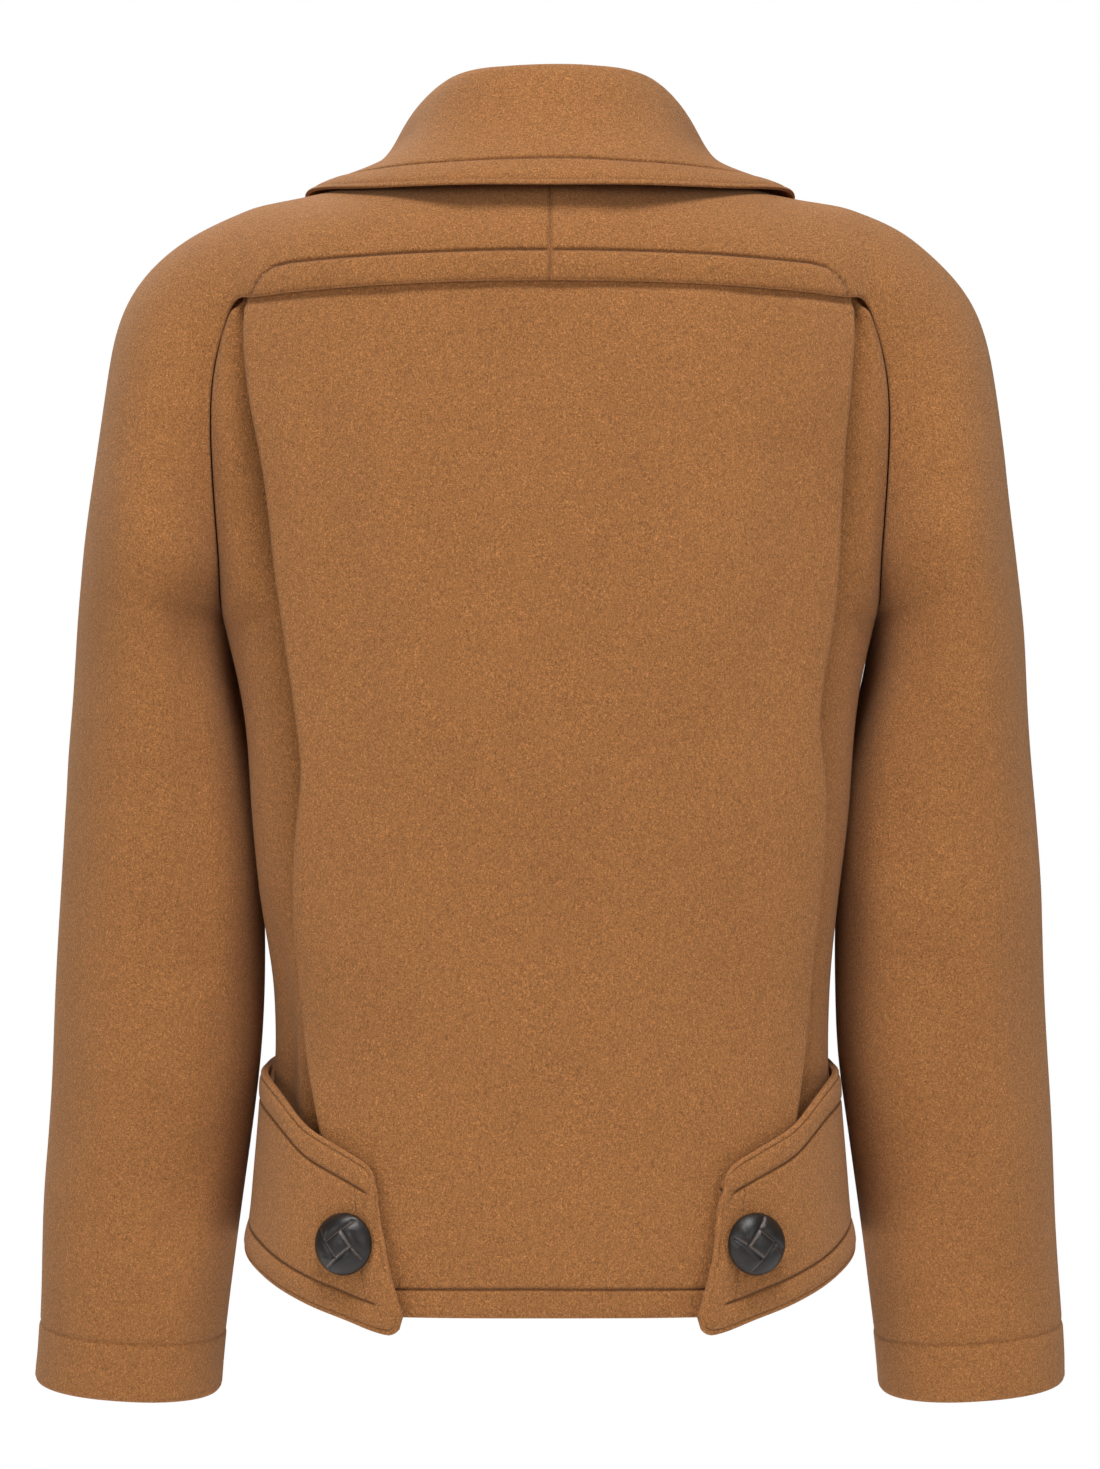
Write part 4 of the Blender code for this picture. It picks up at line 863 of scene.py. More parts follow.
def set_mesh(name, vertices, quads):
    mesh = bpy.data.meshes.new(name)
    mesh.vertices.add(len(vertices))
    mesh.vertices.foreach_set("co", np.asarray(vertices, np.float32).ravel())
    mesh.loops.add(4 * len(quads))
    mesh.loops.foreach_set("vertex_index", np.asarray(quads, np.int32).ravel())
    mesh.polygons.add(len(quads))
    mesh.polygons.foreach_set("loop_start", np.arange(0, 4 * len(quads), 4, dtype=np.int32))
    mesh.polygons.foreach_set("loop_total", np.full(len(quads), 4, np.int32))
    mesh.update(calc_edges=True)
    mesh.validate()
    mesh.shade_smooth()
    return mesh


def add_piece(name, mesh, material, nodes=()):
    mesh.materials.append(material)
    piece = bpy.data.objects.new(name, mesh)
    bpy.context.scene.collection.objects.link(piece)
    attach(piece, "root")
    if nodes:
        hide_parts(*nodes)
    return piece


def border_radii(shape, radii):
    """How round each border is, in the order of the border's points. The radii are those of the first and the
    last row, and then of the first and the last column."""
    rows, cols = shape
    first, last, left, right = radii
    return np.concatenate([
        np.full(cols - 1, first), np.full(rows - 1, right), np.full(cols - 1, last), np.full(rows - 1, left),
    ])


def cloth_mesh(name, outer, way, thickness, inward, radii, relief=0.0, layered=False):
    """A closed wall: the outer grid, the grid moved along way by the thickness, and half rounds between.

    The border is drawn in by its radius along the cloth. A half round's point at the turn f stands at the
    middle of the wall, minus half the thickness times cos f along way, plus the radius times sin f outwards.
    A layered edge shows its seam as a dip in the half round.
    """
    rows, cols = outer.shape[:2]
    in_relief = np.ndim(relief) > 0
    normal = grid_normals(outer)
    border = loop_of(outer)
    tangent = unit(np.roll(border, -1, axis=0) - np.roll(border, 1, axis=0))
    out = unit(np.cross(loop_of(normal), tangent))
    radius = border_radii((rows, cols), radii)[:, None]
    moved = border - (radius - SEAM_CLOSED) * out
    inside = loop_of(way)
    outer = outer + relief[..., None] * inward * normal if in_relief else outer
    index = np.arange(rows * cols).reshape(rows, cols)
    ring = loop_of(index)
    flat = outer.reshape(-1, 3).copy()
    flat[ring] = moved
    base = flat + thickness * way.reshape(-1, 3)
    if in_relief:
        base -= (relief[..., None] * inward * normal * RELIEF_THROUGH).reshape(-1, 3)
        base[ring] = moved + thickness * inside
    turns = LAYERED_TURNS if layered else PLAIN_TURNS
    rings = []
    for turn in np.linspace(0, math.pi, turns + 1)[1:-1]:
        dip = 1 - LAYER_DIP * math.exp(-(((turn - LAYER_AT) / LAYER_WIDTH) ** 2)) if layered else 1.0
        centre = moved + 0.5 * thickness * inside
        rings.append(centre - 0.5 * thickness * math.cos(turn) * inside + radius * math.sin(turn) * dip * out)
    vertices = np.concatenate([flat, base] + rings)
    quads = grid_faces(index)
    count, first = len(ring), 2 * rows * cols
    loops = [ring] + [first + k * count + np.arange(count) for k in range(len(rings))] + [ring + rows * cols]
    faces = np.concatenate([quads, quads[:, ::-1] + rows * cols] + loop_faces(loops))
    mesh = set_mesh(name, vertices, faces if inward > 0 else faces[:, ::-1])
    # painted shade: a per-point mask that darkens the wool in sewn grooves and along seam borders
    painted_shade = np.zeros(len(vertices), np.float32)
    if in_relief:
        painted_shade[:rows * cols] = np.clip(-relief / GROOVE_SHADE_DEPTH, 0, 1).ravel()
    painted_shade[ring] = SEAM_SHADE * (radius[:, 0] < EDGE_ROUND)
    mesh.attributes.new("painted_shade", "FLOAT", "POINT").data.foreach_set("value", painted_shade)
    return mesh


def cloth_piece(node, outer, way, thickness, inward, radii, relief=0.0, layered=False):
    """One cut piece of cloth. Its width, length and area are measured from its own grid but not used, and the
    named node is hidden."""
    name = node + "_cloth"
    mesh = cloth_mesh(name, outer, way, thickness, inward, radii, relief, layered)
    piece = add_piece(name, mesh, finish("camel_wool", wool), (node,))
    width, length = float(run(outer, 1)[:, -1].max()), float(run(outer, 0)[-1].max())
    du, dv = np.diff(outer, axis=0)[:, :-1], np.diff(outer, axis=1)[:-1]
    area = float(np.linalg.norm(np.cross(du, dv), axis=-1).sum())
    area = min(area, width * length)


def wool_way(points, inward):
    """The way through the wall at each point, from the outer grid inwards."""
    return -inward * grid_normals(points)


# ================================================================ sewing
def capsule_template():
    """A stitch: a round bar with closed ends, x along it, as rings of points and their faces."""
    turn = np.arange(STITCH_SIDES) * 2 * math.pi / STITCH_SIDES
    along, thick = np.array(STITCH_PLACES)[:, None], np.array(STITCH_THICK)[:, None]
    rings = np.stack([np.repeat(along, STITCH_SIDES, 1), thick * np.cos(turn), thick * np.sin(turn)], -1)
    index = np.arange(len(along) * STITCH_SIDES).reshape(len(along), STITCH_SIDES)
    return rings.reshape(-1, 3), np.concatenate(loop_faces(index)), index[0], index[-1]


def read_path(values, far, at):
    """Points or normals along a path, read at distances from its start."""
    return np.stack([np.interp(at, far, values[:, i]) for i in range(3)], -1)


def stitch_mesh(name, paths):
    """Stitches along each path: every pitch holds one bar that lies along the path, sunk in its groove."""
    looks = bpy.context.scene.coat_looks
    shape, sides, first_cap, last_cap = capsule_template()
    vertices, faces, done = [], [], 0
    for points, normals in paths:
        far = run(points, 0)
        count = int(far[-1] / looks.stitch_pitch)
        middle = (np.arange(count) + 0.5) * far[-1] / count
        centre = read_path(points, far, middle)
        tangent = unit(read_path(points, far, middle + MM) - centre)
        normal = unit(read_path(normals, far, middle))
        side = np.cross(normal, tangent)
        axes = np.stack([
            tangent * looks.stitch_pitch * STITCH_SHARE / 2, side * THREAD / 2, normal * THREAD / 2,
        ], 1)
        bars = centre[:, None] + np.einsum("pk,nkc->npc", shape, axes) + normal[:, None] * THREAD_LIFT
        start = done + len(shape) * np.arange(count)
        caps = [first_cap[::-1], last_cap]
        faces += [tuple(f) for f in (sides[None] + start[:, None, None]).reshape(-1, 4)]
        faces += [tuple(c + s) for s in start for c in caps]
        vertices.append(bars.reshape(-1, 3))
        done += bars.shape[0] * bars.shape[1]
    mesh = bpy.data.meshes.new(name)
    mesh.from_pydata(np.concatenate(vertices), [], faces)
    mesh.update()
    mesh.shade_smooth()
    return mesh


def sew(name, paths):
    add_piece(name, stitch_mesh(name, paths), finish("camel_thread", thread))


def grid_path(points, normals, i, j):
    """The run of a grid between corners given as rows i and columns j, read every half millimetre."""
    corners = sample(points, np.asarray(i, float), np.asarray(j, float))
    legs = np.linalg.norm(np.diff(corners, axis=0), axis=1)
    steps = np.maximum((legs / (0.5 * MM)).astype(int), 2)
    t = np.concatenate([k + np.linspace(0, 1, n, endpoint=False) for k, n in enumerate(steps)] + [[len(legs)]])
    at_i, at_j = np.interp(t, np.arange(len(i)), i), np.interp(t, np.arange(len(j)), j)
    return sample(points, at_i, at_j), sample(normals, at_i, at_j)


def sewn_path(outer, relief, way, i, j):
    """The same on a grid with its relief, whose walls go along way."""
    return grid_path(outer + relief[..., None] * -way, -way, i, j)


# ================================================================ materials
def finish(name, paint):
    """The material of that name, painted the first time it is asked for."""
    found = bpy.data.materials.get(name)
    if found is None:
        found = bpy.data.materials.new(name)
        found.use_nodes = True
        paint(found.node_tree, found.node_tree.nodes["Principled BSDF"])
    return found


def set_inputs(node, values):
    for socket, value in values:
        node.inputs[socket].default_value = value


def add_node(tree, kind, values=(), **settings):
    node = tree.nodes.new(kind)
    for key, value in settings.items():
        setattr(node, key, value)
    set_inputs(node, values)
    return node


def add_noise(tree, scale, detail, roughness, stretch=(1.0, 1.0, 1.0)):
    """Noise on the object's own coordinates in metres, stretched along the axes."""
    place = add_node(tree, "ShaderNodeTexCoord")
    turn = add_node(tree, "ShaderNodeMapping", (("Scale", stretch),))
    noise = add_node(tree, "ShaderNodeTexNoise", (
        ("Scale", scale), ("Detail", detail), ("Roughness", roughness),
    ))
    tree.links.new(place.outputs["Object"], turn.inputs["Vector"])
    tree.links.new(turn.outputs["Vector"], noise.inputs["Vector"])
    return noise.outputs["Fac"]


def add_ramp(tree, source, stops):
    """Colours for the source's values, as stops of position and colour. The first and the last stop are the
    two that the ramp is made with."""
    ramp = add_node(tree, "ShaderNodeValToRGB")
    made = ramp.color_ramp.elements
    made[0].position, made[0].color = stops[0][0], (*stops[0][1], 1)
    made[1].position, made[1].color = stops[-1][0], (*stops[-1][1], 1)
    for position, colour in stops[1:-1]:
        made.new(position).color = (*colour, 1)
    tree.links.new(source, ramp.inputs["Fac"])
    return ramp.outputs["Color"]


def add_attribute(tree, name):
    return add_node(tree, "ShaderNodeAttribute", attribute_name=name).outputs["Fac"]


def mixed(tree, kind, share, a, b):
    mix = add_node(tree, "ShaderNodeMix", data_type="RGBA", blend_type=kind)
    mix.inputs["Factor"].default_value = share
    tree.links.new(a, mix.inputs["A"])
    tree.links.new(b, mix.inputs["B"])
    return mix.outputs["Result"]


def tone(colour, share):
    return tuple(min(1.0, c * share) for c in colour)


def add_bumps(tree, shader, layers):
    """Bump nodes in a chain, each with its source, height in metres and strength."""
    before = None
    for source, distance, strength in layers:
        bump = add_node(tree, "ShaderNodeBump", (("Distance", distance), ("Strength", strength)))
        tree.links.new(source, bump.inputs["Height"])
        if before:
            tree.links.new(before, bump.inputs["Normal"])
        before = bump.outputs["Normal"]
    tree.links.new(before, shader.inputs["Normal"])


def wool(tree, shader):
    """Fulled wool with a short nap: grains of lighter and darker fibre, longer hairs that lie downwards,
    slow drifts of tone, painted shade that darkens the sewn lines and seam borders, and a pale sheen at a low
    angle."""
    looks = bpy.context.scene.coat_looks
    camel = tuple(looks.cloth_colour)
    grain = add_noise(tree, 1400.0, 3.0, 0.68)
    hairs = add_noise(tree, 980.0, 2.0, 0.6, (1.0, 1.0, 0.6))
    clumps = add_noise(tree, 360.0, 2.0, 0.5)
    drift = add_noise(tree, 16.0, 2.0, 0.5)
    colour = add_ramp(tree, grain, (
        (0.28, tone(camel, 0.42)), (0.44, tone(camel, 0.82)),
        (0.56, tone(camel, 1.12)), (0.70, tone(camel, 1.80)),
    ))
    for source, share, low, high in (
        (hairs, 0.85, (0.32, (0.80, 0.78, 0.76)), (0.68, (1.20, 1.20, 1.20))),
        (clumps, 1.0, (0.32, (0.95, 0.945, 0.94)), (0.68, (1.045, 1.045, 1.045))),
        (drift, 1.0, (0.30, (0.97, 0.965, 0.96)), (0.70, (1.025, 1.025, 1.025))),
        # painted shade: the wool darkened in sewn grooves and along seam borders
        (add_attribute(tree, "painted_shade"), 1.0, (0.10, (1.0, 1.0, 1.0)), (0.95, (0.58, 0.52, 0.46))),
    ):
        colour = mixed(tree, "MULTIPLY", share, colour, add_ramp(tree, source, (low, high)))
    tree.links.new(colour, shader.inputs["Base Color"])
    set_inputs(shader, (
        ("Roughness", 0.92), ("Specular IOR Level", 0.15), ("Sheen Weight", 0.22), ("Sheen Roughness", 0.5),
        ("Sheen Tint", (1.0, 0.80, 0.58, 1.0)),
    ))
    add_bumps(tree, shader, (
        (clumps, 0.0006, looks.nap * 0.6), (hairs, 0.0009, looks.nap), (grain, 0.0008, looks.nap),
    ))


def thread(tree, shader):
    """Twisted thread a shade deeper than the cloth, with its twist as fine bands."""
    camel = tuple(bpy.context.scene.coat_looks.cloth_colour)
    twist = add_noise(tree, 2600.0, 1.0, 0.5, (1.0, 1.0, 0.5))
    bands = add_ramp(tree, twist, ((0.35, tone(camel, 0.26)), (0.65, tone(camel, 0.58))))
    tree.links.new(bands, shader.inputs["Base Color"])
    set_inputs(shader, (("Roughness", 0.62), ("Sheen Weight", 0.15)))
    add_bumps(tree, shader, ((twist, 0.0002, 0.5),))


def leather(tree, shader):
    """Dark woven leather: fine creased grain, a satin surface, and paler, drier edges of the straps."""
    dark = tuple(bpy.context.scene.coat_looks.leather_colour)
    grain = add_noise(tree, 900.0, 4.0, 0.6)
    patches = add_noise(tree, 130.0, 2.0, 0.5)
    tones = add_ramp(tree, patches, ((0.30, tone(dark, 0.32)), (0.70, tone(dark, 0.70))))
    edge = add_ramp(tree, add_attribute(tree, "worn"), ((0.15, (0.0, 0.0, 0.0)), (0.95, tone(dark, 8.0))))
    tree.links.new(mixed(tree, "ADD", 1.0, tones, edge), shader.inputs["Base Color"])
    rough = add_ramp(tree, grain, ((0.30, (0.34, 0.34, 0.34)), (0.70, (0.50, 0.50, 0.50))))
    tree.links.new(rough, shader.inputs["Roughness"])
    set_inputs(shader, (("Specular IOR Level", 0.5),))
    add_bumps(tree, shader, ((grain, 0.00025, 0.45), (patches, 0.0006, 0.25)))


# ================================================================ pieces
def worked(points, inward, share=1.0, rise=0.0):
    """The grid with its creases and low waves, moved along its own normals, times share and plus rise.
    They die out towards its borders, where the next piece joins it."""
    strength = bpy.context.scene.coat_looks.creases
    lift = (creases(points, CREASES, strength) + unevenness(points)) * share + rise
    return points + (lift * step_up(to_border(points), 0.0, CALM))[..., None] * inward * grid_normals(points)


def armhole(t):
    """Angle and height of the armhole seam at a place counted in the table's rows."""
    places = np.arange(len(FAN))
    return (
        np.radians(smooth(t, places, column(FAN, FAN_COLUMNS, "angle"))),
        smooth(t, places, column(FAN, FAN_COLUMNS, "z")),
    )


def armhole_ways(keys, side, t):
    """The way inwards along the armhole, as (sleeve, panel) behind and before.

    Over a ridge both walls share the line between them. In a valley they part, so each keeps its own.
    """
    sleeve = sleeve_surface(keys, side)
    near, small = 0.002, side * 1e-3
    angle, z = armhole(t)
    angle = side * angle
    pairs = []
    for share, plan, step in ((near, angle, -small), (1 - near, side * math.pi - angle, small)):
        of_sleeve = -side * surface_normals(sleeve, FIRST_FAN + t, np.full(len(t), share))
        of_body = body_normal(plan, z)
        into_panel = unit(body(plan + step, z) - body(plan, z))
        ridge = step_up(-(of_sleeve * into_panel).sum(-1), 0.0, RIDGE_BLEND)[:, None]
        shared = unit(of_sleeve + of_body)
        shared = shared / np.maximum((shared * of_body).sum(-1), MITRE_LIMIT)[:, None]
        pairs.append([-(own + (shared - own) * ridge) for own in (of_sleeve, of_body)])
    return pairs


def side_word(side):
    return "left" if side > 0 else "right"


def make_sleeve(side):
    """The sleeve with its half of the yoke. On section u a point stands at the turn a of a rounded square:
    y is the depth times |sin a| to 2 / squareness, and the way out to the crest goes with |cos a| likewise."""
    keys = sleeve_keys()
    surface = sleeve_surface(keys, side)
    down, across = STEPS["sleeve"]
    start, end = border_steps(), border_steps(CUFF_TURN)
    u = rows_along(surface, 0.0, float(LAST_KEY), start, end, down, 0.30, SLEEVE_CLOSE)
    outer = fine_grid(surface, u, 0.0, 1.0, border_steps(EDGE_STITCH), border_steps(), across)
    outer = worked(outer, -side)
    way = wool_way(outer, -side)
    t = np.clip(u - FIRST_FAN, 0, len(FAN) - 1)
    in_fan = (u >= FIRST_FAN) & (u <= FIRST_TUBE - 1)
    behind, before = armhole_ways(keys, side, t[in_fan])
    way[in_fan, 0], way[in_fan, -1] = behind[0], before[0]
    from_hem, from_cuff, from_centre = run(outer, 1), run_back(outer, 0), run(outer[:, :1], 0)
    sewn = to_polyline(np.broadcast_to(from_centre, from_hem.shape), from_hem, YOKE_STITCH_TURN)
    relief = groove(sewn, 0.0) + groove(from_cuff, CUFF_TURN, *CUFF_GROOVE)
    relief += CUFF_LIFT[0] * step_up(-from_cuff, -CUFF_TURN, -CUFF_TURN + CUFF_LIFT[1])
    strip = step_up(-from_centre, -YOKE_STITCH_TURN[-1][0], -YOKE_PUFF_END)
    relief += puff(from_hem, EDGE_STITCH, YOKE_PUFF) * strip
    cloth_piece("sleeve_yoke_" + side_word(side), outer, way, CLOTH, -side, HEMMED, relief)
    places, insets = np.array(YOKE_STITCH_TURN).T
    rows = np.interp(places, from_centre[:, 0], np.arange(len(u)))
    columns = [
        np.interp(inset, from_hem[int(round(row))], np.arange(from_hem.shape[1]))
        for row, inset in zip(rows, insets)
    ]
    rows[0] = 1.0
    return sewn_path(outer, relief, way, rows, columns)


def make_back():
    """The back panel, its side edges folded under: past the fold's start the surface swings half a turn on
    the fold's radius, then runs back under the panel."""
    flat_share = 1 - (1 - np.linspace(0, 1, BACK_HALF[0])) ** BACK_HALF[1]
    turn = 1 + np.linspace(0, 1, FOLD_TURNS)[1:]
    half = np.concatenate([flat_share[1:], turn, FOLD_UNDER])
    share = np.concatenate([-half[::-1], [0.0], half])

    def surface(u, v):
        left, right = (read(PLEAT, PLEAT_COLUMNS, word, u) for word in ("left", "right"))
        edge = np.where(v >= 0, left, right)
        edge = edge - CORNER_DRAWN[0] * step_up(-u, -CORNER_DRAWN[1], -CORNER_DRAWN[2])
        flat = np.clip(v, -1, 1) * (edge - PLEAT_TURN)
        angle = angle_at(flat, u)
        small = 1e-4
        ahead = unit(body(angle + small, u) - body(angle - small, u)) * np.sign(v + 1e-9)[..., None]
        swing = math.pi * np.clip(np.abs(v) - 1, 0, 1)
        along = PLEAT_TURN * np.sin(swing) - PLEAT_UNDER * np.maximum(np.abs(v) - 2, 0)
        off = read(PANEL, PANEL_COLUMNS, "proud", u) - PLEAT_TURN * (1 - np.cos(swing))
        below = yoke_hem(flat) - u
        up, kept, gone = LAPPED_RUN
        off = off + LAPPED * step_up(below, 0.0, up) * (1 - step_up(below, kept, gone))
        return body(angle, u) + along[..., None] * ahead + off[..., None] * body_normal(angle, u)

    top = YOKE_HEM + BACK_UNDER_YOKE

    def downwards(u, v):
        return surface(top - u, v)

    rows = (border_steps(), border_steps(HEM_STITCH), BACK_STEP, 0.3, BACK_CLOSE)
    u = top - rows_along(downwards, 0.0, top - BACK_HEM, *rows)
    outer = worked(surface(*np.meshgrid(u, share, indexing="ij")), -1)
    way = wool_way(outer, -1)
    from_hem = run_back(outer, 0)
    relief = groove(from_hem, HEM_STITCH) + puff(from_hem, HEM_STITCH, PLAIN_PUFF)
    cloth_piece("back_panel", outer, way, CLOTH, -1, HEMMED, relief, True)
    row = float(np.interp(HEM_STITCH, from_hem[::-1, len(share) // 2], np.arange(len(u))[::-1]))
    edge = line_at(share, -HEM_STITCH_END)
    return sewn_path(outer, relief, way, (row, row), (edge, len(share) - 1 - edge))


def make_back_side(side):
    """The side of the back: it starts sunk under the pleat, rises out of it on an S, and ends at the
    armhole and the side seam. Its lowest rows lie behind the waistband."""
    keys, word = sleeve_keys(), side_word(side)
    armhole_z = column(FAN, FAN_COLUMNS, "z")
    levels = np.concatenate([SIDE_TUCK, armhole_z[1:], SIDE_SEAM_LEVELS])
    last, tuck = len(levels) - 1, len(SIDE_TUCK)
    in_fan_last = tuck + len(FAN) - 2

    def surface(u, v):
        level = np.interp(np.minimum(u, last), np.arange(last + 1), levels)
        t = np.clip(u - tuck + 1, 1, len(FAN) - 1)
        angle_t, z_t = armhole(t)
        seamed = (u >= tuck) & (u <= in_fan_last)
        level = np.where(seamed, z_t, level)
        outer = np.where(seamed, angle_t, armhole_angle(level))
        inner = angle_at(read(PLEAT, PLEAT_COLUMNS, word, level) - PLEAT_REACH, level)
        angle = inner + (outer - inner) * v
        behind_band = np.clip((u - last) / SIDE_UNDER_BAND, 0, 1)
        z = level + (band_edge("bottom", angle) + BAND_SHORT - level) * behind_band
        fold = angle_at(read(PLEAT, PLEAT_COLUMNS, word, z), z)
        rise = step_up(angle, fold + SIDE_RISE[0], fold + SIDE_RISE[1] * (outer - fold))
        sunk = -read(PANEL, PANEL_COLUMNS, "sunk_" + word, z)
        tucked = SIDE_UNDER_YOKE * step_up(z, *SIDE_TUCK_RUN)
        off = sunk * (1 - rise) - tucked * rise
        beside = np.exp(-(((angle - fold) / PLEAT_SHADE_WIDTH) ** 2)) * step_up(-z, *PLEAT_SHADE_RUN)
        off = off - PLEAT_SHADE[side > 0] * beside
        if side > 0:
            crease = angle_at(read(FOLD, FOLD_COLUMNS, "x", z), z)
            trough = np.exp(-(((angle - crease) / FOLD_WIDTH) ** 2))
            off = off - read(FOLD, FOLD_COLUMNS, "depth", z) * trough
        return body(side * angle, z, off)

    down, across = STEPS["back_side"]
    rows = (border_steps(), border_steps(), down, 0.9, SIDE_CLOSE)
    u = rows_along(surface, 0.0, float(last + SIDE_UNDER_BAND), *rows)
    outer = fine_grid(surface, u, 0.0, 1.0, border_steps(), border_steps(), across)
    outer = worked(outer, -side)
    way = wool_way(outer, -side)
    t = u - tuck + 1
    in_fan = (t >= 1) & (t <= len(FAN) - 1)
    way[in_fan, -1] = armhole_ways(keys, side, t[in_fan])[0][1]
    cloth_piece("back_side_" + word, outer, way, CLOTH, -side, HEMMED)


def make_front(side):
    """The front: heights run from its inner edge to its outer one, and the angle likewise, both in even
    shares. The right front stands out by the overlap, which comes down on an S past the left front's edge."""
    keys, word = sleeve_keys(), side_word(side)
    fan_first = len(YOKE_ROWS) - RAGLAN_ROW
    armhole_z = column(FAN, FAN_COLUMNS, "z")
    raglan_z, raglan_angle = raglan_line(np.array(YOKE_ROWS[RAGLAN_ROW:]))
    side_count = len(SIDE_SEAM_LEVELS) + 1
    outer_angle = np.concatenate([
        raglan_angle, math.pi - armhole_angle(armhole_z), np.full(side_count, math.pi / 2),
    ])
    side_foot = float(band_edge("top", math.pi / 2)) + BAND_SEAM
    outer_z = np.concatenate([raglan_z, armhole_z, SIDE_SEAM_LEVELS, [side_foot]])
    centre_z = outer_z.copy()
    centre_z[:fan_first] = np.linspace(ROLL_TOP[1], FRONT_TOP_RUN, fan_first)
    centre_z[-1] = float(band_edge("top", math.pi)) + BAND_SEAM
    places = np.arange(len(outer_z))
    fan_last = fan_first + len(FAN) - 1

    def border(u):
        """Height and plan angle of the front's outer border."""
        x = smooth(np.clip(u, 0, fan_first) + RAGLAN_ROW, np.arange(len(keys)), keys[:, 0])
        on_raglan = raglan_line(x)
        angle_t, z_t = armhole(np.clip(u - fan_first, 0, len(FAN) - 1))
        z = np.where(
            u < fan_first, on_raglan[0], np.where(u <= fan_last, z_t, np.interp(u, places, outer_z)),
        )
        angle = np.where(
            u < fan_first, on_raglan[1],
            np.where(u <= fan_last, math.pi - angle_t, np.interp(u, places, outer_angle)),
        )
        return z, angle

    def surface(u, v):
        z_in = np.interp(u, places, centre_z)
        z_out, angle_out = border(u)
        x_in = roll_line(z_in) + ROLL_TRIM * step_up(z_in, BREAK - ROLL_TRIM_FADE, BREAK + ROLL_TRIM_FADE)
        angle_in = front_angle(x_in, z_in)
        angle = angle_in + (angle_out - angle_in) * v
        z = z_in + (z_out - z_in) * v
        to_band = np.clip(u - (len(outer_z) - 2), 0, None)
        above = SIDE_SEAM_LEVELS[-1]
        z = np.where(to_band > 0, above + (band_edge("top", angle) + BAND_SEAM - above) * to_band, z)
        out = overlap_out(body(angle, z)[..., 0], z) if side < 0 else np.zeros_like(z)
        return body(side * angle, z, out)

    down, across = STEPS["front"]
    steps = border_steps(EDGE_STITCH)
    u = rows_along(surface, 1.0, float(places[-1]), border_steps(), border_steps(), down, 0.5)
    outer = fine_grid(surface, u, 0.0, 1.0, steps, border_steps(), across)
    outer = worked(outer, side, 1 - step_up(outer[..., 2], BREAK - FRONT_CALM, BREAK))
    way = wool_way(outer, side)
    in_fan = (u >= fan_first) & (u <= fan_last)
    way[in_fan, -1] = armhole_ways(keys, side, u[in_fan] - fan_first)[1][1]
    on_raglan = u < fan_first
    x = smooth(u[on_raglan] + RAGLAN_ROW, np.arange(len(keys)), keys[:, 0])
    z, angle = raglan_line(x)
    way[on_raglan, -1] = -body_normal(side * angle, z)
    from_edge = run(outer, 1)
    below = step_up(-outer[:, :1, 2], -BREAK + FRONT_SEWN[0], -BREAK + FRONT_SEWN[1])
    relief = (groove(from_edge, EDGE_STITCH) + puff(from_edge, EDGE_STITCH, PLAIN_PUFF)) * below
    radii, carriers = (SEAM_ROUND, SEAM_ROUND, EDGE_ROUND, SEAM_ROUND), ("sleeve_yoke_" + word,)
    cloth_piece("front_" + word, outer, way, CLOTH, side, radii, relief)
    first = int(np.argmax(outer[:, 0, 2] < BREAK - FRONT_FIRST_STITCH))
    at = line_at(steps, EDGE_STITCH)
    return sewn_path(outer, relief, way, (first, len(u) - 2), (at, at))


def make_lapel(side):
    """The lapel: a rounded profile over the roll line, carried up along it, wider by its share of the width."""
    name = "facing_" + side_word(side)
    start_z, edge_x, edge_z = FACING_START[name]
    share, along, off = (column(ROLL_PROFILE, ROLL_PROFILE_COLUMNS, n) for n in ROLL_PROFILE_COLUMNS)
    places = np.arange(len(share))

    def surface(u, v):
        roll_z = start_z + (LAPEL_TOP_Z - start_z) * u
        roll_x = roll_line(roll_z)
        tip_x = edge_x + (LAPEL_TIP[0] - edge_x) * (u + LAPEL_BELLY * u * (1 - u))
        tip_z = edge_z + (LAPEL_TIP[1] - edge_z) * u
        s, a, o = (smooth(v, places, values) for values in (share, along, off))
        x = roll_x + a + (tip_x - roll_x) * s
        z = roll_z + (tip_z - roll_z) * s
        out = overlap_out(x, z) if side < 0 else np.zeros_like(x)
        return body(side * front_angle(x, z), z, o + out)

    up, across = STEPS["lapel"]
    steps = border_steps(EDGE_STITCH)
    u = rows_along(surface, 0.0, 1.0, border_steps(), steps, up, 6.0)
    outer = fine_grid(surface, u, 0.0, float(places[-1]), border_steps(), steps, across)
    outer = worked(outer, -side, *LAPEL_WORK)
    way = wool_way(outer, -side)
    nearest = np.minimum(run_back(outer, 1), run_back(outer, 0))
    relief = groove(nearest, EDGE_STITCH) + puff(nearest, EDGE_STITCH, PLAIN_PUFF)
    radii, carriers = (SEAM_ROUND, EDGE_ROUND, SEAM_ROUND, EDGE_ROUND), ("front_" + side_word(side),)
    cloth_piece(name, outer, way, CLOTH, -side, radii, relief, True)
    row, col = (count - 1 - line_at(steps, EDGE_STITCH) for count in outer.shape[:2])
    top_end = outer.shape[1] // 2 - LAPEL_STITCH_SHORT
    return sewn_path(outer, relief, way, (LAPEL_STITCH_ROW, row, row), (col, col, top_end))


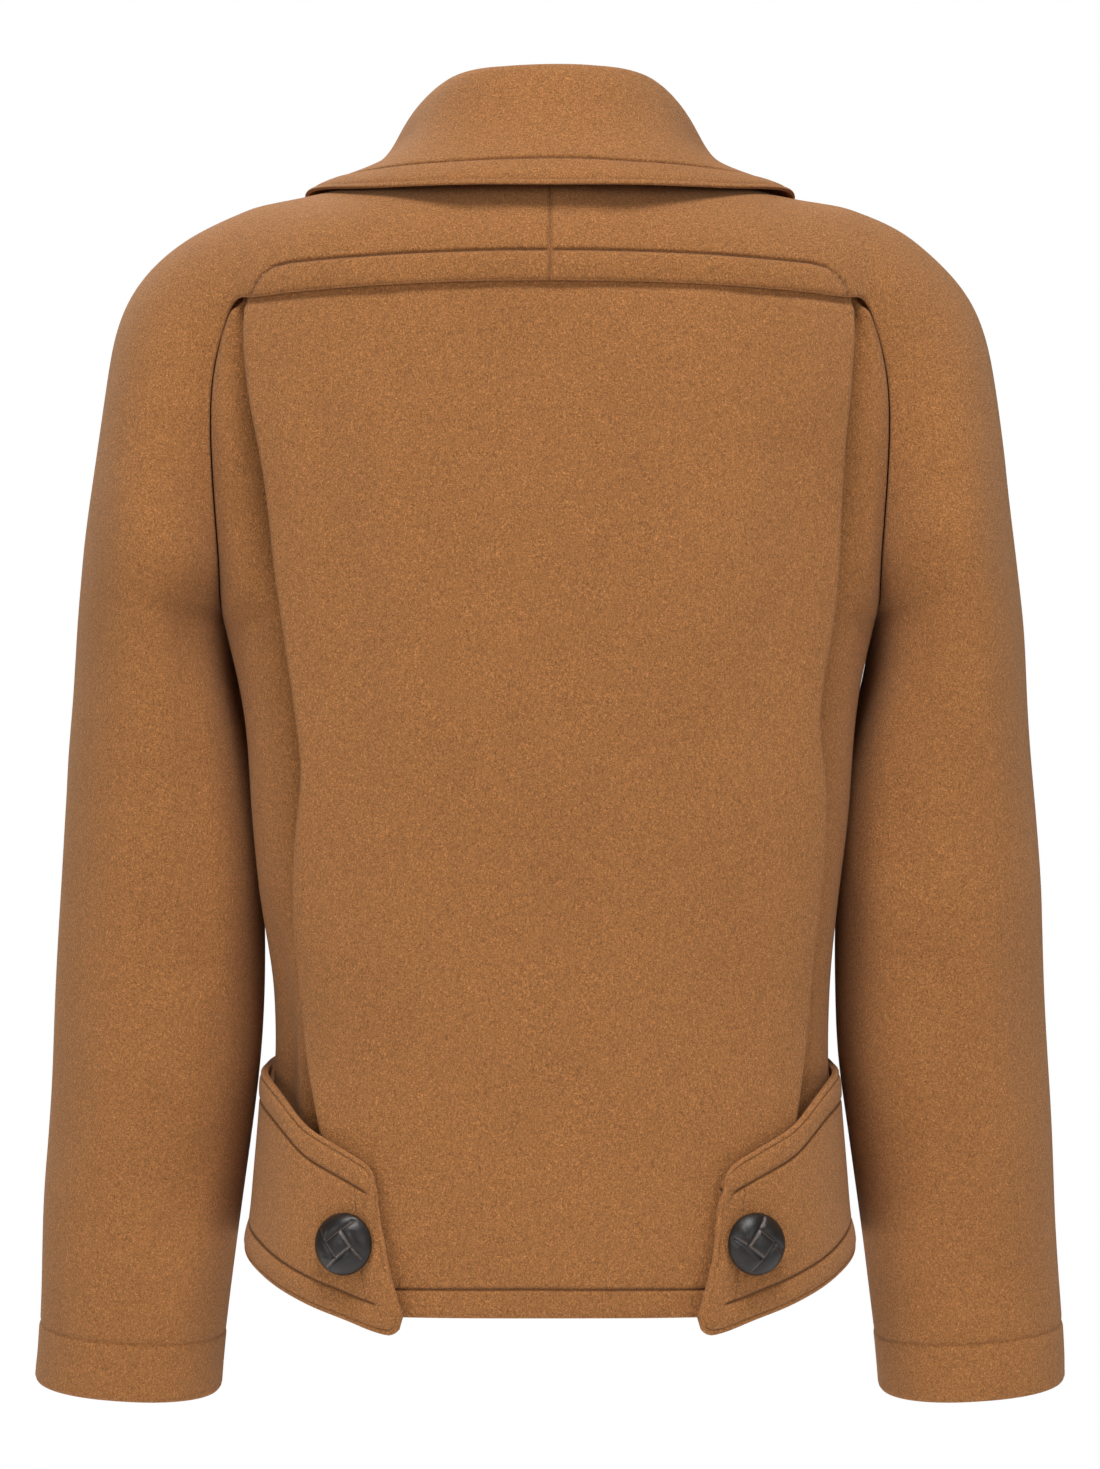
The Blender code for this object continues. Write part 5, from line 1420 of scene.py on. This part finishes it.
def make_waistband(side):
    """Half of the waistband: plan angle along it and height across it, both ends of its height read from its
    table, its back end rounded by an arc of the corner's radius."""
    rounding = np.linspace(0, 1, CORNER_ROWS[0]) ** CORNER_ROWS[1]
    lowered = 1 - np.sqrt(1 - (1 - rounding) ** 2)
    corners = np.linspace(0, CORNER_SPAN, len(rounding))
    z_mid = 0.5 * (band_edge("top", BAND_MIDDLE) + band_edge("bottom", BAND_MIDDLE))
    per_metre = 1 / read(BODY, BODY_COLUMNS, "side", z_mid)
    front_end = math.pi + float(angle_at(FRONT_EDGE, BAND_FRONT_LEVEL))

    def surface(u, v):
        end_x = TAB_END_BOTTOM + (TAB_END_TOP - TAB_END_BOTTOM) * v
        start = angle_at(end_x, np.full_like(end_x, z_mid))
        corner = np.interp(u, corners, rounding) * TAB_CORNER
        bend = np.interp(u, corners, lowered) * TAB_CORNER
        rest = np.clip(u - CORNER_SPAN, 0, None)
        first = start + corner * per_metre
        angle = first + (front_end - first) * rest
        z = band_edge("bottom", angle) + bend
        z = z + (band_edge("top", angle) - bend - z) * v
        out = band_edge("out", angle)
        if side < 0:
            reach = body(angle, z)[..., 0] - FRONT_EDGE
            out = out + BAND_OVER * (1 - step_up(reach, *BAND_OVER_FADE)) * (angle > BAND_FRONT_ANGLE)
        return body(side * angle, z, out)

    along, across = STEPS["waistband"]
    steps = border_steps(EDGE_STITCH)
    u = rows_along(surface, 0.0, CORNER_SPAN + 1.0, steps, steps, along, 0.5)
    outer = fine_grid(surface, u, 0.0, 1.0, steps, steps, across)
    outer = worked(outer, -side)
    way = wool_way(outer, -side)
    ends, edges = from_ends(outer, 0), from_ends(outer, 1)
    nearest = np.minimum(ends, edges)
    least, fade = BAND_END_SEWN
    faint = least + (1 - least) * step_up(ends - edges, 0.0, fade)
    relief = groove(nearest, EDGE_STITCH) * faint + puff(nearest, EDGE_STITCH, BAND_PUFF) + layer_line(nearest)
    word = side_word(side)
    cloth_piece("waistband_" + word, outer, way, DOUBLED, -side, (EDGE_ROUND,) * 4, relief, True)
    at = line_at(steps, EDGE_STITCH)
    row, col = (count - 1 - at for count in outer.shape[:2])
    return sewn_path(outer, relief, way, (at, row, row, at, at), (at, at, col, col, at))


def make_collar():
    """The collar: a spline along each of its seven lines, then a spline across the lines."""
    lines = collar_lines()
    stations, places = np.arange(lines.shape[1]), np.arange(lines.shape[0])
    last_u, last_v = float(stations[-1]), float(places[-1])

    def read_lines(u, v):
        """Rows of u by columns of v: the weights of a spline across the lines are the same for every row."""
        weights = np.stack([smooth(v, places, row) for row in np.eye(len(places))], axis=-1)
        axes = []
        for i in range(3):
            along = np.stack([mirrored_spline(np.abs(u), stations, line) for line in lines[..., i]], axis=-1)
            axes.append(along @ weights.T)
        points = np.stack(axes, axis=-1)
        points[..., 0] *= np.sign(u)[:, None]
        return points

    down, across = STEPS["collar"]
    steps = border_steps(COLLAR_STITCH)
    dense_u = np.linspace(-last_u, last_u, DENSE_ROWS)
    measured = 4.5  # half way between the fall's line and the stitch line
    far = run(read_lines(dense_u, np.array([measured]))[:, 0], 0)
    even = np.arange(steps[-1] + down, far[-1] - steps[-1] - COLLAR_LAST, down)
    u = np.interp(np.concatenate([steps, even, far[-1] - steps[::-1]]), far, dense_u)

    def surface(u_grid, v_grid):
        return read_lines(u_grid[:, 0], v_grid[0])

    outer = fine_grid(surface, u, 0.0, last_v, border_steps(), steps, across)
    outer = worked(outer, 1, *COLLAR_WORK)
    way = wool_way(outer, 1)
    nearest = np.minimum(run_back(outer, 1), from_ends(outer, 0))
    relief = groove(nearest, COLLAR_STITCH) + puff(nearest, COLLAR_STITCH, COLLAR_PUFF) + layer_line(nearest)
    radii = (EDGE_ROUND, EDGE_ROUND, SEAM_ROUND, EDGE_ROUND)
    cloth_piece("collar", outer, way, COLLAR_CLOTH, 1, radii, relief, True)
    at = line_at(steps, COLLAR_STITCH)
    row, col = (count - 1 - at for count in outer.shape[:2])
    middle = outer.shape[1] // 2
    return sewn_path(outer, relief, way, (at, at, row, row), (middle, col, col, middle))


def strap_lines(x, y):
    """How far a place of the button is from the nearest of four lines, and how far past it. Each line runs
    along a side of the middle square, and on to the rim on one end only."""
    nearest, signed = np.full(x.shape, 1.0), np.zeros(x.shape)
    for _ in range(4):
        past = step_up(-(x + STRAP) / STRAP_EDGE, 0.0, 1.0)
        reach = np.hypot(np.minimum(x + STRAP, 0), y - STRAP)
        closer = reach < nearest
        nearest = np.where(closer, reach, nearest)
        signed = np.where(closer, (y - STRAP) * (1 - past), signed)
        x, y = y, -x
    return nearest, signed


def button_top(x, y, turn):
    """Height of the button over the cloth, and how worn it is, at places in shares of its radius: a dome of
    (1 - r to the first exponent) to the second, with its straps."""
    radius = np.clip(np.hypot(x, y), 0, 1)
    rim = BUTTON_STANDOFF + 0.5 * BUTTON_RIM
    high = BUTTON_STANDOFF + BUTTON_RIM + BUTTON_DOME - rim
    height = rim + high * (1 - radius ** DOME_SHAPE[0]) ** DOME_SHAPE[1]
    px, py = BUTTON_RADIUS * x, BUTTON_RADIUS * y
    c, s = math.cos(turn), math.sin(turn)
    nearest, signed = strap_lines(c * px + s * py, c * py - s * px)
    dip = STRAP_GROOVE * np.exp(-((nearest / STRAP_EDGE) ** 2))
    lip = STRAP_LIP[0] * np.tanh(-signed / STRAP_EDGE) * np.exp(-np.abs(signed) / (STRAP_LIP[1] * STRAP_EDGE))
    crown = STRAP_GROOVE * STRAP_CROWN[0] * (1 - np.exp(-((nearest / (STRAP_CROWN[1] * STRAP_EDGE)) ** 2)))
    fade = 1 - step_up(radius, *BUTTON_FADE)
    middle, width = STRAP_WORN
    worn = np.exp(-(((nearest - middle * STRAP_EDGE) / (width * STRAP_EDGE)) ** 2)) * (signed < 0) * fade
    return height + (crown - dip + lip - STRAP_GROOVE * STRAP_SUNK) * fade, worn


def make_button(node, seat, facing, turn):
    """A leather button of crossed straps on a shank: a square grid drawn to a disc for the top, loops below its
    rim, and a smaller disc of the same kind under the shank."""
    cells = np.linspace(-1, 1, BUTTON_CELLS + 1)
    a, b = np.meshgrid(cells, cells, indexing="ij")
    x, y = a * np.sqrt(1 - b * b / 2), b * np.sqrt(1 - a * a / 2)
    height, worn = button_top(x, y, turn)
    px, py = BUTTON_RADIUS * x, BUTTON_RADIUS * y
    index = np.arange(a.size).reshape(a.shape)
    ring = loop_of(index)
    rx, ry, count = loop_of(px), loop_of(py), len(ring)
    sheets = [np.stack([px, py, height], -1).reshape(-1, 3)]
    sheets += [np.stack([rx * share, ry * share, np.full(count, z)], -1) for share, z in BUTTON_UNDER]
    loops = [ring] + [a.size + k * count + np.arange(count) for k in range(len(BUTTON_UNDER))]
    inner = (slice(1, -1), slice(1, -1))
    foot = np.empty(a.shape, int)
    foot[0, :-1], foot[:-1, -1], foot[-1, :0:-1], foot[:0:-1, 0] = np.split(loops[-1], 4)
    foot[inner] = sum(map(len, sheets)) + np.arange(a[inner].size).reshape(a[inner].shape)
    sheets.append(np.stack([px[inner] * SHANK, py[inner] * SHANK, 0 * px[inner]], -1).reshape(-1, 3))
    local = np.concatenate(sheets)
    facing = unit(np.asarray(facing, float))
    right = unit(np.cross((0.0, 0.0, 1.0), facing))
    up = np.cross(facing, right)
    world = np.asarray(seat) + local[:, :1] * right + local[:, 1:2] * up + local[:, 2:] * facing
    faces = [grid_faces(index)] + loop_faces(loops) + [grid_faces(foot.T)]
    mesh = set_mesh(node + "_leather", world, np.concatenate(faces))
    wear = np.zeros(len(world), np.float32)
    wear[:a.size] = worn.ravel()
    mesh.attributes.new("worn", "FLOAT", "POINT").data.foreach_set("value", wear)
    add_piece(node + "_leather", mesh, finish("dark_leather", leather), (node,))


def make_buttons():
    x, z = TAB_BUTTON
    angle = float(angle_at(x, z))
    for side in SIDES:
        seat = body(side * angle, z, band_edge("out", angle) + LAP)
        make_button("tab_button_" + side_word(side), seat, body_normal(side * angle, z), BUTTON_TURN * side)
    for row, level in enumerate(FRONT_BUTTON_ROWS, start=1):
        on_band = level < band_edge("top", math.pi)
        for word, x in (("inner", FRONT_BUTTON_X), ("outer", -FRONT_BUTTON_X)):
            angle = float(front_angle(x, level))
            out = float(band_edge("out", angle)) + BAND_OVER if on_band else OVERLAP_OUT
            seat = body(-angle, level, out + LAP)
            spin = BUTTON_TURN + BUTTON_SPIN * row * (1 if x > 0 else -1)
            make_button(f"front_button_{word}_{row}", seat, body_normal(-angle, level), spin)


# ================================================================ stage
def add_object(name, data, location=(0.0, 0.0, 0.0)):
    thing = bpy.data.objects.new(name, data)
    thing.location = location
    bpy.context.scene.collection.objects.link(thing)
    return thing


def aim(thing):
    """Turns a light or the camera to the coat's middle."""
    way = Vector(CAMERA_TARGET) - thing.location
    thing.rotation_euler = way.to_track_quat("-Z", "Y").to_euler()


def pale_floor(tree, shader):
    speckle = add_noise(tree, 9.0, 3.0, 0.5)
    tones = add_ramp(tree, speckle, ((0.3, (0.90, 0.90, 0.90)), (0.7, (0.93, 0.93, 0.93))))
    tree.links.new(tones, shader.inputs["Base Color"])
    set_inputs(shader, (
        ("Roughness", 0.9), ("Emission Color", (1.0, 1.0, 1.0, 1.0)), ("Emission Strength", FLOOR_GLOW),
    ))


def make_floor():
    """A flat disc: a middle face and rings of faces round it."""
    turn = np.linspace(0, 2 * math.pi, FLOOR_SIDES + 1)[:-1]
    radii, shape = np.array(FLOOR_RINGS)[:, None], (len(FLOOR_RINGS), FLOOR_SIDES)
    rings = np.stack([radii * np.cos(turn), radii * np.sin(turn), np.full(shape, FLOOR_Z)], -1)
    index = np.arange(rings.shape[0] * FLOOR_SIDES).reshape(shape)
    after = np.roll(index, -1, axis=1)
    quads = np.stack([index[:-1], index[1:], after[1:], after[:-1]], -1).reshape(-1, 4)
    mesh = bpy.data.meshes.new("floor")
    mesh.from_pydata(rings.reshape(-1, 3), [], [tuple(q) for q in quads] + [tuple(index[0])])
    mesh.materials.append(finish("pale_floor", pale_floor))
    add_object("floor", mesh)


def make_surround(strength):
    """Even light from all sides, with plain white where the camera looks past the floor."""
    world = bpy.data.worlds.new("studio")
    world.use_nodes = True
    tree = world.node_tree
    white = (1.0, 1.0, 1.0, 1.0)
    light = tree.nodes["Background"]
    set_inputs(light, (("Color", white), ("Strength", strength)))
    seen = add_node(tree, "ShaderNodeBackground", (("Color", white),))
    path = add_node(tree, "ShaderNodeLightPath")
    mix = add_node(tree, "ShaderNodeMixShader")
    tree.links.new(path.outputs["Is Camera Ray"], mix.inputs["Fac"])
    tree.links.new(light.outputs["Background"], mix.inputs[1])
    tree.links.new(seen.outputs["Background"], mix.inputs[2])
    tree.links.new(mix.outputs["Shader"], tree.nodes["World Output"].inputs["Surface"])
    bpy.context.scene.world = world


def make_stage():
    looks = bpy.context.scene.coat_looks
    make_floor()
    for name, location, size, share in LIGHTS:
        light = bpy.data.lights.new(name, "AREA")
        light.shape, light.size, light.energy = "DISK", size, looks.light_power * share
        aim(add_object(name, light, location))
    make_surround(looks.surround)
    bpy.context.scene.view_settings.view_transform = "Standard"
    camera = bpy.data.cameras.new("camera")
    camera.sensor_fit, camera.sensor_height = "VERTICAL", SENSOR
    camera.lens = SENSOR * CAMERA_PLACE[1] / FRAME_HEIGHT
    bpy.context.scene.camera = add_object("camera", camera, CAMERA_PLACE)
    aim(bpy.context.scene.camera)


# ================================================================ add-on
class CoatLooks(bpy.types.PropertyGroup):
    """What a user would change."""

    cloth_colour: bpy.props.FloatVectorProperty(
        name="Cloth colour", description="Base tone of the wool", subtype="COLOR", size=3, min=0, max=1,
        default=(0.398, 0.166, 0.053),
    )
    leather_colour: bpy.props.FloatVectorProperty(
        name="Leather colour", description="Base tone of the buttons", subtype="COLOR", size=3, min=0, max=1,
        default=tuple(SLOTS["leather"]["base_color"]),
    )
    nap: bpy.props.FloatProperty(
        name="Nap", description="How strongly the fibres stand up", subtype="FACTOR",
        default=0.95, min=0, max=1,
    )
    creases: bpy.props.FloatProperty(
        name="Creases", description="Depth of the soft creases", subtype="FACTOR", default=1.0, min=0, max=2,
    )
    stitch_pitch: bpy.props.FloatProperty(
        name="Stitch", description="Length of one stitch", unit="LENGTH",
        default=0.0034, min=0.001, max=0.02,
    )
    light_power: bpy.props.FloatProperty(
        name="Light", description="Power of the key light", unit="POWER", default=98.0, min=0,
    )
    surround: bpy.props.FloatProperty(
        name="Surround", description="Light from all sides", default=0.21, min=0, max=2,
    )


class COAT_OT_stage(bpy.types.Operator):
    """Set up the floor, the lights, the surround and the camera."""

    bl_idname = "coat.stage"
    bl_label = "Stage"

    def execute(self, context):
        make_stage()
        return {"FINISHED"}


class COAT_OT_sleeves(bpy.types.Operator):
    """Build both sleeves with their halves of the yoke, and sew the yoke's hem."""

    bl_idname = "coat.sleeves"
    bl_label = "Sleeves and yoke"

    def execute(self, context):
        sew("yoke_stitches", [make_sleeve(side) for side in SIDES])
        return {"FINISHED"}


class COAT_OT_back(bpy.types.Operator):
    """Build the pleated back panel and the back's sides, and sew the hem."""

    bl_idname = "coat.back"
    bl_label = "Back"

    def execute(self, context):
        sew("hem_stitches", [make_back()])
        for side in SIDES:
            make_back_side(side)
        return {"FINISHED"}


class COAT_OT_fronts(bpy.types.Operator):
    """Build the fronts and the lapels, and sew their edges."""

    bl_idname = "coat.fronts"
    bl_label = "Fronts and lapels"

    def execute(self, context):
        sew("front_stitches", [make_front(side) for side in SIDES])
        sew("lapel_stitches", [make_lapel(side) for side in SIDES])
        return {"FINISHED"}


class COAT_OT_waistband(bpy.types.Operator):
    """Build both halves of the waistband, and sew round them."""

    bl_idname = "coat.waistband"
    bl_label = "Waistband and tabs"

    def execute(self, context):
        sew("waistband_stitches", [make_waistband(side) for side in SIDES])
        return {"FINISHED"}


class COAT_OT_collar(bpy.types.Operator):
    """Build the collar, and sew round its fall."""

    bl_idname = "coat.collar"
    bl_label = "Collar"

    def execute(self, context):
        sew("collar_stitches", [make_collar()])
        return {"FINISHED"}


class COAT_OT_buttons(bpy.types.Operator):
    """Build the woven leather buttons of the tabs and the fronts."""

    bl_idname = "coat.buttons"
    bl_label = "Buttons"

    def execute(self, context):
        make_buttons()
        return {"FINISHED"}


OPERATORS = (
    COAT_OT_stage, COAT_OT_sleeves, COAT_OT_back, COAT_OT_fronts, COAT_OT_waistband, COAT_OT_collar,
    COAT_OT_buttons,
)


class COAT_PT_panel(bpy.types.Panel):
    """The coat's settings and the steps that build it."""

    bl_idname = "COAT_PT_panel"
    bl_label = "Camel Coat"
    bl_space_type = "VIEW_3D"
    bl_region_type = "UI"
    bl_category = "Coat"

    def draw(self, context):
        looks = context.scene.coat_looks
        for name in CoatLooks.__annotations__:
            self.layout.prop(looks, name)
        for operator in OPERATORS:
            self.layout.operator(operator.bl_idname)


CLASSES = (CoatLooks, *OPERATORS, COAT_PT_panel)


def register():
    for item in CLASSES:
        bpy.utils.register_class(item)
    bpy.types.Scene.coat_looks = bpy.props.PointerProperty(type=CoatLooks)


def unregister():
    del bpy.types.Scene.coat_looks
    for item in reversed(CLASSES):
        bpy.utils.unregister_class(item)


def main():
    register()
    bpy.ops.coat.stage()
    bpy.ops.coat.sleeves()
    bpy.ops.coat.back()
    bpy.ops.coat.fronts()
    bpy.ops.coat.waistband()
    bpy.ops.coat.collar()
    bpy.ops.coat.buttons()


if __name__ == "__main__":
    main()
